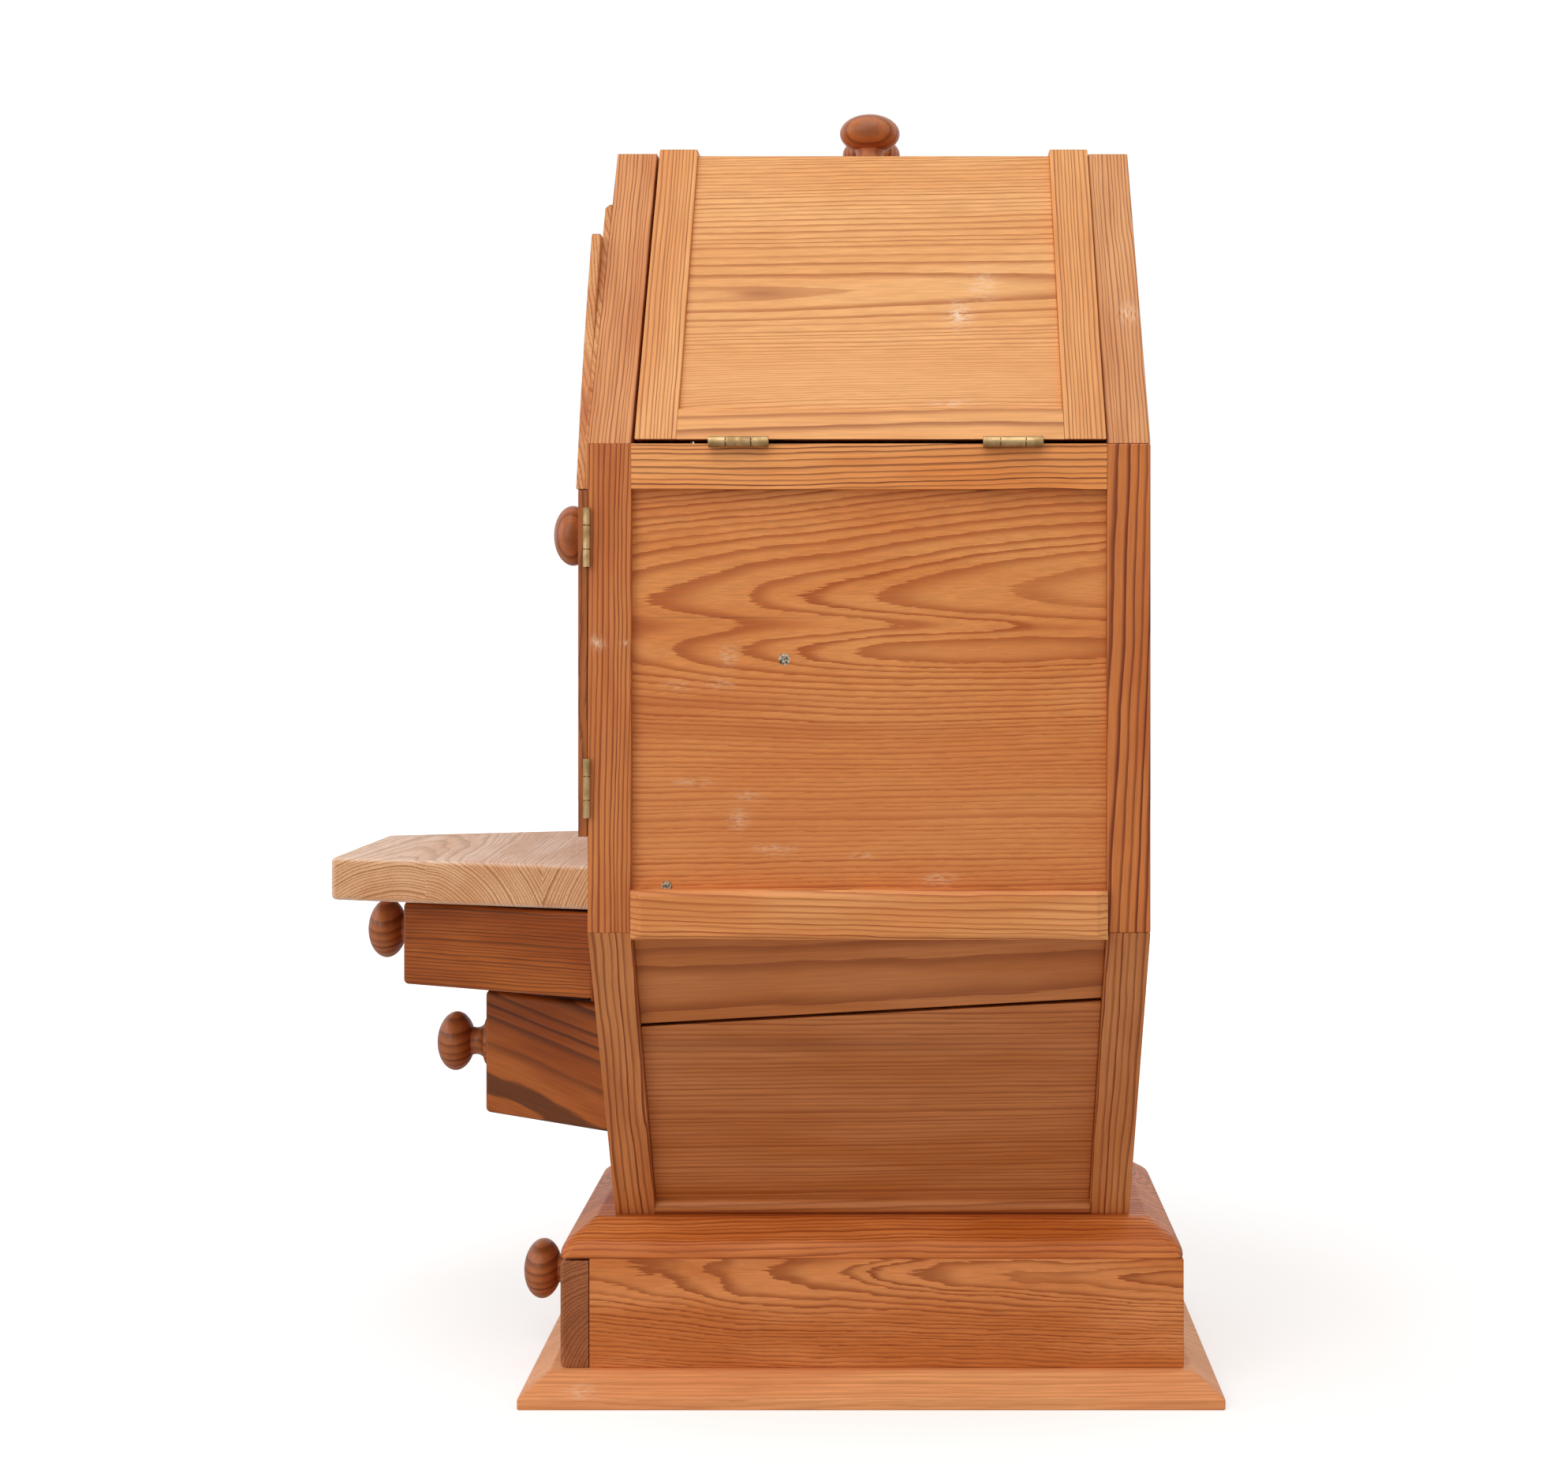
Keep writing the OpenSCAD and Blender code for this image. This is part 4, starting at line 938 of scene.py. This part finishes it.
@dataclass
class Front:
    """Fascia, its backing, the panel behind them and the counter."""

    # Where the counter is glued
    joint_1_y: float = -321.5
    joint_2_y: float = -233.0

    def build(self) -> None:
        """Dresses the fixed boards of the front."""
        board("front_upper_panel", Finish.FASCIA, Grain((1, 0, 0.03), (0, 60, -40)), edge_mm=0.5)
        board("fascia_backing", Finish.FASCIA, Grain((0.01, 0.02, 1), (-20, 280, 0)), edge_mm=0.4)
        board("fascia", Finish.FASCIA, Grain((0.01, 0.05, 1), (30, 320, 0), 3.0), edge_mm=1.0)
        board("counter", Finish.COUNTER, self.counter_grain, edge_mm=3.5,
              glued=[((0, y, 0), (0, 1, 0)) for y in (self.joint_1_y, self.joint_2_y)], steps=4)

    def counter_grain(self, middle: Vector) -> Grain:
        """Gives each of the three glued boards of the counter a heart of its own.

        Args:
            middle: the middle of the board, in millimetres.

        Returns:
            The board's grain.
        """
        if middle.y < self.joint_1_y:
            return Grain((1, 0.03, 0.03), (0, 14, -90))
        if middle.y < self.joint_2_y:
            return Grain((1, 0.02, 0.02), (0, -52, -50))
        return Grain((1, 0.02, 0.03), (0, 66, -52))


@dataclass
class Knob:
    """A turned mushroom knob, in millimetres, from its foot to its tip."""

    node: str
    base: Vec
    facing: Vec
    length: float = 45.0
    heart: Vec = (-20.0, 0.0, -120.0)
    lean: Vec = (0.03, 0.04, 0.02)
    head_radius: float = 22.5
    head_half: float = 14.2
    neck_radius: float = 10.3
    foot_radius: float = 17.8
    foot_height: float = 7.8
    foot_edge: float = 0.4
    # How far the hollow of the neck runs past its narrowest place, in degrees, and the steps beside it
    curl: float = 20.0
    step: float = 0.5
    turns: int = 64
    neck_lines: int = 20
    head_lines: int = 40

    def profile(self) -> list[tuple[float, float]]:
        """Works out the outline that is turned.

        Returns:
            The radius and height of each turned line, from the foot to the tip.
        """
        hollow = self.foot_radius - self.neck_radius
        curl = math.radians(self.curl)
        head_up = self.length - self.head_half
        start = math.acos((self.neck_radius + hollow * (1 - math.cos(curl))) / self.head_radius)
        join_up = head_up - self.head_half * math.sin(start) - self.step
        neck_up = (join_up + self.foot_height * math.sin(curl)) / (1 + math.sin(curl))
        points = [
            (0.0, 0.0), (self.foot_radius - self.foot_edge, 0.0), (self.foot_radius, self.foot_edge),
            (self.foot_radius, self.foot_height - self.step)]
        for i in range(1, self.neck_lines + 1):
            angle = math.pi / 2 - (math.pi / 2 + curl) * i / self.neck_lines
            points.append((
                self.neck_radius + hollow * (1 - math.cos(angle)),
                neck_up - (neck_up - self.foot_height) * math.sin(angle)))
        for i in range(self.head_lines, -1, -1):
            angle = math.pi / 2 - (math.pi / 2 + start) * i / self.head_lines
            points.append((self.head_radius * math.cos(angle), head_up + self.head_half * math.sin(angle)))
        return points

    def build(self) -> None:
        """Turns the knob and sets it on its board."""
        mesh = bmesh.new()
        upright = Vector(self.facing).to_track_quat("Z", "Y").to_matrix().to_4x4()
        place = Matrix.Translation(Vector(self.base) * MM) @ upright
        rings = []
        for radius, height in self.profile():
            if radius * MM < ONE_POINT:
                rings.append([mesh.verts.new(place @ Vector((0, 0, height * MM)))])
                continue
            ring = []
            for i in range(self.turns):
                angle = 2 * math.pi * i / self.turns
                local = Vector((radius * math.cos(angle), radius * math.sin(angle), height)) * MM
                ring.append(mesh.verts.new(place @ local))
            rings.append(ring)
        for lower, upper in zip(rings, rings[1:]):
            for i in range(self.turns):
                j = (i + 1) % self.turns
                if len(lower) == 1:
                    mesh.faces.new((lower[0], upper[j], upper[i]))
                elif len(upper) == 1:
                    mesh.faces.new((lower[i], lower[j], upper[0]))
                else:
                    mesh.faces.new((lower[i], lower[j], upper[j], upper[i]))
        bmesh.ops.recalc_face_normals(mesh, faces=mesh.faces)
        for face in mesh.faces:
            face.smooth = True
        grain = Grain(tuple(Vector(self.facing) + Vector(self.lean)), self.heart)
        dressed(self.node, "turned", mesh, Finish.KNOB, lambda middle: grain)


@dataclass
class Lid:
    """A side lid: a bent frame with panels, and its knob. Lengths are in millimetres."""

    name: str
    side: float
    knob_x: float = 40.0
    knob_length: float = 38.5
    knob_foot: float = 1.3
    proud: float = 3.0
    panel_inset: float = 4.5
    frame_edge_mm: float = 0.7
    leaf_mm: float = 0.5
    # The level parts of the stiles have their middles less than this below the top
    level_mm: float = 20.0

    def let_in(self, mesh: Mesh) -> None:
        """Lets the foot of the lid down until it lies flush with its hinge leaves.

        Args:
            mesh: the stiles or the rail.
        """
        low = min(vert.co.z for vert in mesh.verts)
        slope = Vector(BODY.upper_slope(self.side))
        drop = slope * (self.leaf_mm * MM / slope.z)
        for vert in mesh.verts:
            if vert.co.z < low + TOUCH:
                vert.co -= drop

    def corner(self) -> Plane:
        """Works out the mitre between the leaning and the level part of the lid.

        Returns:
            Its plane.
        """
        slope = Vector(BODY.upper_slope(self.side)).normalized()
        level = Vector((-self.side, 0, 0))
        normal = (slope + level).normalized()
        point = Vector((self.side * BODY.top_width / 2, 0, BODY.top_z))
        return tuple(point), tuple(normal)

    def stile_grain(self, middle: Vector) -> Grain:
        """Runs the grain up the stiles and across over the top.

        Args:
            middle: the middle of the board, in millimetres.

        Returns:
            The board's grain.
        """
        if middle.z > BODY.top_z - self.level_mm:
            return Grain((1, 0.01, 0), (0, 30, -40))
        end = math.copysign(1.0, middle.y)
        return Grain(BODY.upper_slope(middle.x), (-12 * self.side, 66 * end, -9))

    def build(self) -> None:
        """Dresses the frame and the panels and adds the knob."""
        board(f"{self.name}_stiles", Finish.LID_FRAME, self.stile_grain, [self.corner()], self.frame_edge_mm,
              shape=self.let_in)
        board(f"{self.name}_rail", Finish.LID_FRAME, Grain((0, 1, 0.01), (-20 * self.side, 0, -45), 5.0),
              edge_mm=0.3, shape=self.let_in)
        lean = Grain((-0.06 * self.side, 1, 0), (self.side, 0, -18))
        board(f"{self.name}_panel", Finish.LID_PANEL, lean, edge_mm=0.4)
        board(f"{self.name}_top", Finish.LID_PANEL, Grain((0, 1, 0.05), (0, 0, -60)), edge_mm=0.4)
        top = BODY.top_z + self.proud - self.panel_inset
        middle = sum(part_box(f"{self.name}_knob"), Vector()) / 2 / MM
        Knob(f"{self.name}_knob", (self.side * self.knob_x, middle.y, top), (0, 0, 1),
             length=self.knob_length, foot_height=self.knob_foot,
             heart=(-110.0 * self.side, 6.0, 0.0)).build()


@dataclass
class Door:
    """A front door and its knob."""

    name: str
    side: float
    knob_x: float = 47.0
    face_y: float = -194.4

    def build(self) -> None:
        """Dresses the leaf and adds the knob."""
        board(f"{self.name}_leaf", Finish.DOOR, Grain((0.03 * self.side, 0.06, 1), (20 * self.side, 40, 0)),
              edge_mm=0.8)
        middle = sum(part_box(f"{self.name}_knob"), Vector()) / 2 / MM
        Knob(f"{self.name}_knob", (self.side * self.knob_x, self.face_y, middle.z), (0, -1, 0),
             heart=(-110.0 * self.side, 0.0, 5.0)).build()


@dataclass
class DrawerBox:
    """The open box of a drawer: two sides, with a back and a floor between them, in millimetres."""

    node: str
    side_t: float = 10.0
    floor_t: float = 6.0
    edge_mm: float = 0.4

    def grain(self, middle: Vector) -> Grain:
        """Runs the sides of the box front to back, and its other boards across.

        Args:
            middle: the middle of the board, in millimetres.

        Returns:
            The board's grain.
        """
        low, high = (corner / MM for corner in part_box(self.node))
        if min(middle.x - low.x, high.x - middle.x) < self.side_t:
            return Grain((0, 1, 0.02), (30, 0, -30))
        return Grain((1, 0.02, 0), (0, 30, -60))

    def build(self) -> None:
        """Sets the four boards where the CAD box stands."""
        low, high = (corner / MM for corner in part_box(self.node))
        inner = high.x - self.side_t
        back = high.y - self.side_t
        slabs = (
            (inner, high.x, low.y, high.y, high.z), (low.x, -inner, low.y, high.y, high.z),
            (-inner, inner, back, high.y, high.z), (-inner, inner, low.y, back, low.z + self.floor_t))
        mesh = joined([
            prism(((x0, y0), (x1, y0), (x1, y1), (x0, y1)), low.z, top) for x0, x1, y0, y1, top in slabs])
        ease(mesh, self.edge_mm)
        dressed(self.node, "pine", mesh, Finish.INNER, self.grain)


@dataclass
class BayDrawer:
    """A drawer with a canted bay in front, in millimetres."""

    name: str
    tip_width: float
    root_width: float
    tip_y: float
    root_y: float
    foot_z: float
    height: float
    heart: Vec
    lean: float
    ring_mm: float
    bay_t: float = 16.0
    floor_t: float = 6.0
    round_mm: float = 3.5
    # The front board of the bay has its middle less than this from the drawer's
    front_near: float = 20.0

    def bay_grain(self, middle: Vector) -> Grain:
        """Runs the grain level along each board of the bay.

        Args:
            middle: the middle of the board, in millimetres.

        Returns:
            The board's grain.
        """
        if abs(middle.x) < self.front_near:
            return Grain((1, 0, 0.02), (0, 30, -40))
        side = math.copysign(1.0, middle.x)
        out = side * (self.root_width - self.tip_width) / 2
        run = Vector((out, self.root_y - self.tip_y, 0)).normalized()
        heart = (self.heart[0] * side, self.heart[1], self.heart[2])
        return Grain((run.x, run.y, self.lean), heart, self.ring_mm)

    def bay(self) -> Mesh:
        """Builds the front board and the two canted boards, mitred together, and the floor.

        Returns:
            One mesh that holds the four boards.
        """
        tip, root = self.tip_width / 2, self.root_width / 2
        cant = math.atan2(root - tip, self.root_y - self.tip_y)
        inner_tip = tip - self.bay_t * math.tan((math.pi / 2 - cant) / 2)
        inner_root = root - self.bay_t / math.cos(cant)
        inner_y = self.tip_y + self.bay_t
        right = ((inner_tip, inner_y), (inner_root, self.root_y))
        left = ((-inner_root, self.root_y), (-inner_tip, inner_y))
        outside = ((root, self.root_y), (tip, self.tip_y), (-tip, self.tip_y), (-root, self.root_y))
        walls = prism((*right, *outside, *left), self.foot_z, self.foot_z + self.height)
        ease(walls, self.round_mm, 4)
        mitres = [
            ((side * tip, self.tip_y, 0), (side * self.bay_t, tip - inner_tip, 0)) for side in (1, -1)]
        walls = parted(walls, mitres)
        ease(walls, *HAIRLINE)
        return joined((walls, prism((*right, *left), self.foot_z, self.foot_z + self.floor_t)))

    def build(self) -> None:
        """Dresses the drawer."""
        board(f"{self.name}_front", Finish.DRAWER, Grain((1, 0, 0.02), (0, 50, -30)), edge_mm=0.8)
        dressed(f"{self.name}_bay", "pine", self.bay(), Finish.DRAWER, self.bay_grain)
        DrawerBox(f"{self.name}_box").build()
        Knob(f"{self.name}_knob", (0, self.tip_y, self.foot_z + self.height / 2), (0, -1, 0)).build()


@dataclass
class BaseDrawer:
    """The drawer in the base, with a thick front that is rounded at its face."""

    face_y: float = -224.25
    round_mm: float = 4.5

    def round_face(self, mesh: Mesh) -> None:
        """Rounds the four edges of the front's face.

        Args:
            mesh: the front.
        """
        edges = [
            edge for edge in mesh.edges
            if all(abs(vert.co.y - self.face_y * MM) < TOUCH for vert in edge.verts)]
        bevel(mesh, edges, self.round_mm, 5)

    def build(self) -> None:
        """Dresses the drawer."""
        board("base_drawer_front", Finish.END_GRAIN, Grain((1, 0.02, 0), (0, 40, -50)), edge_mm=0.4,
              shape=self.round_face)
        DrawerBox("base_drawer_box").build()
        middle = sum(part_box("base_drawer_knob"), Vector()) / 2 / MM
        Knob("base_drawer_knob", (0, self.face_y, middle.z), (0, -1, 0)).build()


@dataclass
class Hardware:
    """Hinges and screws, in millimetres."""

    screw_radius: float = 3.9
    screw_height: float = 0.5
    # The slots of the cross: their width and depth, and their length as a share of the radius
    slot_width: float = 0.9
    slot_depth: float = 0.35
    slot_length: float = 1.15
    head_corners: int = 32
    leaf_edge_mm: float = 0.25
    # Edges that are sharper than this stay sharp, and faces that are larger stay flat, in square metres
    smooth_angle: float = math.radians(30)
    smooth_area: float = 4e-5
    # Screws of the middle panels: the face that they are sunk in, and their places on it
    panel_face_x: float = 238.0
    panel_screws_yz: tuple[tuple[float, float], ...] = ((-136.0, 379.8), (-57.0, 532.5))
    # Screws of the hinge leaves: their size, how far they stand out, and their places
    leaf_screw_radius: float = 2.6
    leaf_screw_out: float = 0.12
    screw_apart: float = 13.0
    lid_screw_x: float = 237.7
    lid_hinges_y: tuple[float, float] = (-87.0, 96.0)
    lid_faces_z: tuple[float, float] = (677.35, 678.95)
    door_screw_x: float = 239.1
    door_hinges_z: tuple[float, float] = (446.55, 613.95)
    door_faces_y: tuple[float, float] = (-188.0, -188.4)

    def leaves(self) -> None:
        """Gives every hinge leaf and pin its metal, with its edges eased."""
        nodes = (
            "lid_hinge_bases", "door_hinge_bases", "hinge_pins", "lid_right_hinge_leaves",
            "lid_left_hinge_leaves", "door_right_hinge_leaves", "door_left_hinge_leaves")
        for node in nodes:
            mesh = copied(node)
            ease(mesh, self.leaf_edge_mm, 1)
            for face in mesh.faces:
                face.smooth = len(face.verts) == 4 and face.calc_area() < self.smooth_area
            for edge in mesh.edges:
                edge.smooth = edge.calc_face_angle(0.0) < self.smooth_angle
            dressed(node, "metal", mesh, Finish.BRASS)

    def head_tree(self) -> bpy.types.NodeTree:
        """Builds the geometry nodes that set a cross-slotted screw head on every point.

        Returns:
            A tree with inputs for the radius, height, slot and material of the heads.
        """
        group = bpy.data.node_groups.new("ScrewHeads", "GeometryNodeTree")
        face = group.interface
        face.new_socket("Geometry", in_out="INPUT", socket_type="NodeSocketGeometry")
        for name in ("Radius", "Height", "Slot Width", "Slot Depth"):
            face.new_socket(name, in_out="INPUT", socket_type="NodeSocketFloat")
        face.new_socket("Material", in_out="INPUT", socket_type="NodeSocketMaterial")
        face.new_socket("Geometry", in_out="OUTPUT", socket_type="NodeSocketGeometry")
        tree = Tree(group)
        given = tree.add("NodeGroupInput").node.outputs
        disc = tree.add("GeometryNodeMeshCylinder", {
            "Vertices": self.head_corners, "Radius": given["Radius"], "Depth": given["Height"]})
        length = tree.add("Math", (given["Radius"], self.slot_length), operation="MULTIPLY")
        lift = tree.add("Math", (given["Height"], 0.5), operation="MULTIPLY")
        up = tree.add("CombineXYZ", {2: lift})
        size = tree.add("CombineXYZ", (length, given["Slot Width"], given["Slot Depth"]))
        bar = tree.add("GeometryNodeMeshCube", {"Size": size})
        bars = [
            tree.add("GeometryNodeTransform", {"Geometry": bar, "Translation": up, "Rotation": (0, 0, turn)})
            for turn in (0, math.pi / 2)]
        head = tree.add("GeometryNodeMeshBoolean", (disc, bars), operation="DIFFERENCE")
        facing = tree.add("GeometryNodeInputNamedAttribute", {"Name": "facing"}, data_type="FLOAT_VECTOR")
        turned = tree.add("FunctionNodeAlignRotationToVector", {"Vector": facing}, axis="Z")
        points = tree.add("GeometryNodeMeshToPoints", (given["Geometry"],))
        placed = tree.add("GeometryNodeInstanceOnPoints", {
            "Points": points, "Instance": head, "Rotation": turned})
        real = tree.add("GeometryNodeRealizeInstances", (placed,))
        done = tree.add("GeometryNodeSetMaterial", {"Geometry": real, "Material": given["Material"]})
        tree.add("NodeGroupOutput", (done,))
        return group

    def set_heads(self, name: str, body: str, places: Sequence[tuple[Vec, Vec]], radius: float,
                  finish: Finish, node: str | None = None) -> None:
        """Sets screw heads on a body.

        Args:
            name: the new object's name.
            body: the body that they ride on.
            places: the middle of each head in millimetres and the way it faces.
            radius: the radius of the heads.
            finish: their metal.
            node: a CAD node that they stand for, if any.
        """
        seeds = bpy.data.meshes.new(name)
        seeds.from_pydata([Vector(point) * MM for point, _ in places], [], [])
        facing = seeds.attributes.new("facing", "FLOAT_VECTOR", "POINT")
        facing.data.foreach_set("vector", [c for _, way in places for c in way])
        holder = linked(f"{name}_points", seeds)
        modifier = holder.modifiers.new("heads", "NODES")
        modifier.node_group = bpy.data.node_groups.get("ScrewHeads") or self.head_tree()
        values = {
            "Radius": radius * MM, "Height": self.screw_height * MM, "Slot Width": self.slot_width * MM,
            "Slot Depth": self.slot_depth * MM, "Material": material_of(finish)}
        for socket in modifier.node_group.interface.items_tree:
            if socket.in_out == "INPUT" and socket.name in values:
                modifier[socket.identifier] = values[socket.name]
        graph = bpy.context.evaluated_depsgraph_get()
        data = bpy.data.meshes.new_from_object(holder.evaluated_get(graph))
        data.name = name
        heads = linked(name, data)
        holder.modifiers.clear()
        bpy.data.objects.remove(holder)
        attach(heads, body)
        if node:
            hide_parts(node)
        LOG.info("%s: %d faces", name, len(data.polygons))

    def build(self) -> None:
        """Dresses the hinges, the side screws and the screws of the hinge leaves."""
        self.leaves()
        sunk_x = self.panel_face_x - self.screw_height / 2
        sides = [((side * sunk_x, y, z), (side, 0, 0)) for _, side in SIDES for y, z in self.panel_screws_yz]
        self.set_heads("panel_screw_heads", "cabinet", sides, self.screw_radius, Finish.STEEL, "panel_screws")
        for body, places in self.leaf_screws().items():
            self.set_heads(f"{body}_hinge_screws", body, places, self.leaf_screw_radius, Finish.BRASS)

    def leaf_screws(self) -> dict[str, list[tuple[Vec, Vec]]]:
        """Works out the screws of every hinge leaf.

        Returns:
            For each body, the middle of each head and the way it faces.
        """
        sunk = self.screw_height / 2 - self.leaf_screw_out
        found: dict[str, list[tuple[Vec, Vec]]] = {"cabinet": []}
        for name, side in SIDES:
            lid = found.setdefault(f"{name}_lid", [])
            door = found.setdefault(f"{name}_door", [])
            for shift in (-self.screw_apart, self.screw_apart):
                for middle in self.lid_hinges_y:
                    x, y = side * self.lid_screw_x, middle + shift
                    found["cabinet"].append(((x, y, self.lid_faces_z[0] - sunk), (0, 0, 1)))
                    lid.append(((x, y, self.lid_faces_z[1] + sunk), (0, 0, -1)))
                for middle in self.door_hinges_z:
                    x, z = side * self.door_screw_x, middle + shift
                    found["cabinet"].append(((x, self.door_faces_y[0] + sunk, z), (0, -1, 0)))
                    door.append(((x, self.door_faces_y[1] - sunk, z), (0, 1, 0)))
        return found


@dataclass
class Studio:
    """Floor, lights, world and the camera of the photo. Lengths are in metres."""

    camera_place: Vec = (1.825, 0.024, 0.550)
    focal_px: float = 3000.0
    axis_px: tuple[float, float] = (1147.5, 803.0)
    picture_px: tuple[int, int] = (1988, 1859)
    sensor_mm: float = 36.0
    near: float = 0.05
    ambient: float = 0.5
    floor_half: float = 6.0
    # The floor glows more and more between two distances from the cabinet, to meet the white background
    glow_places: tuple[float, float] = (0.4, 1.6)
    glow: tuple[float, float] = (0.53, 0.95)

    def camera(self) -> None:
        """Sets the camera level, square on to the right-hand side."""
        data = bpy.data.cameras.new("photo_camera")
        data.sensor_width = self.sensor_mm
        data.sensor_fit = "HORIZONTAL"
        data.lens = self.focal_px / self.picture_px[0] * self.sensor_mm
        data.shift_x = (self.picture_px[0] / 2 - self.axis_px[0]) / self.picture_px[0]
        data.shift_y = (self.axis_px[1] - self.picture_px[1] / 2) / self.picture_px[0]
        data.clip_start = self.near
        camera = linked("photo_camera", data)
        camera.location = self.camera_place
        camera.rotation_euler = (math.pi / 2, 0, math.pi / 2)
        bpy.context.scene.camera = camera

    def lamp(self, name: str, place: Vec, size: float, power: float, aim: Vec = (0, 0, 0.5)) -> None:
        """Adds a square soft lamp.

        Args:
            name: its name.
            place: where it stands.
            size: how wide it is.
            power: its power in watts.
            aim: the place on the cabinet that it points at.
        """
        data = bpy.data.lights.new(name, "AREA")
        data.size = size
        data.energy = power
        lamp = linked(name, data)
        lamp.location = place
        lamp.rotation_euler = (Vector(aim) - Vector(place)).to_track_quat("-Z", "Y").to_euler()

    def world(self) -> None:
        """Gives plain grey light, and a white background to the camera, gloss and glass."""
        world = bpy.data.worlds.new("studio")
        bpy.context.scene.world = world
        world.use_nodes = True
        tree = Tree(world.node_tree)
        path = tree.add("LightPath").node.outputs
        seen = tree.add("Math", (path["Is Camera Ray"], path["Is Glossy Ray"]), operation="MAXIMUM")
        seen = tree.add("Math", (seen, path["Is Transmission Ray"]), operation="MAXIMUM")
        strength = tree.add("MapRange", {"Value": seen, "To Min": self.ambient, "To Max": 1.0})
        light = tree.add("Background", (linear("#ffffff"), strength))
        tree.add("OutputWorld", {"Surface": light})

    def floor(self) -> None:
        """Lays a pale floor that keeps the cabinet's shadow."""
        mesh = bmesh.new()
        bmesh.ops.create_grid(mesh, x_segments=1, y_segments=1, size=self.floor_half)
        data = bpy.data.meshes.new("floor")
        mesh.to_mesh(data)
        mesh.free()
        material, tree = blank_material("floor_paper")
        seen = tree.add("LightPath", out="Is Camera Ray")
        place = tree.add("TexCoord", out="Object")
        far = tree.add("VectorMath", (place,), "Value", operation="LENGTH")
        glow = tree.add("MapRange", (far, *self.glow_places, *self.glow))
        glow = tree.add("Math", (seen, glow), operation="MULTIPLY")
        shader = tree.add("BsdfPrincipled", {
            "Base Color": linear("#d8d6d4"), "Roughness": 0.95, "Specular IOR Level": 0.1,
            "Emission Color": linear("#ffffff"), "Emission Strength": glow})
        tree.add("OutputMaterial", {"Surface": shader})
        data.materials.append(material)
        floor = linked("floor", data)

    def build(self) -> None:
        """Sets up the whole studio."""
        bpy.context.scene.view_settings.view_transform = "Standard"
        self.camera()
        self.world()
        self.floor()
        self.lamp("top_light", (1.1, -0.1, 2.4), size=1.8, power=19.5, aim=(0, 0, 0.6))
        self.lamp("side_light", (2.4, -1.6, 1.5), size=1.6, power=18.5)
        self.lamp("front_light", (0.2, -2.6, 1.4), size=1.4, power=10.0)


def main() -> None:
    """Builds every piece of the cabinet and the studio round it."""
    logging.basicConfig(level=logging.INFO, format="%(name)s: %(message)s")
    Base().build()
    Carcass().build()
    Front().build()
    for name, side in SIDES:
        Lid(f"lid_{name}", side).build()
    for name, side in SIDES:
        Door(f"door_{name}", side).build()
    BayDrawer(
        "drawer_1", tip_width=180, root_width=326, tip_y=-344, root_y=-195.4, foot_z=292.5, height=60.5,
        heart=(-20, 10, -80), lean=0.008, ring_mm=2.6).build()
    BayDrawer(
        "drawer_2", tip_width=96, root_width=242, tip_y=-291, root_y=-188.4, foot_z=190.0, height=91.7,
        heart=(-26, 8, -34), lean=-0.2, ring_mm=12.0).build()
    BaseDrawer().build()
    Hardware().build()
    Studio().build()


if __name__ == "__main__":
    main()
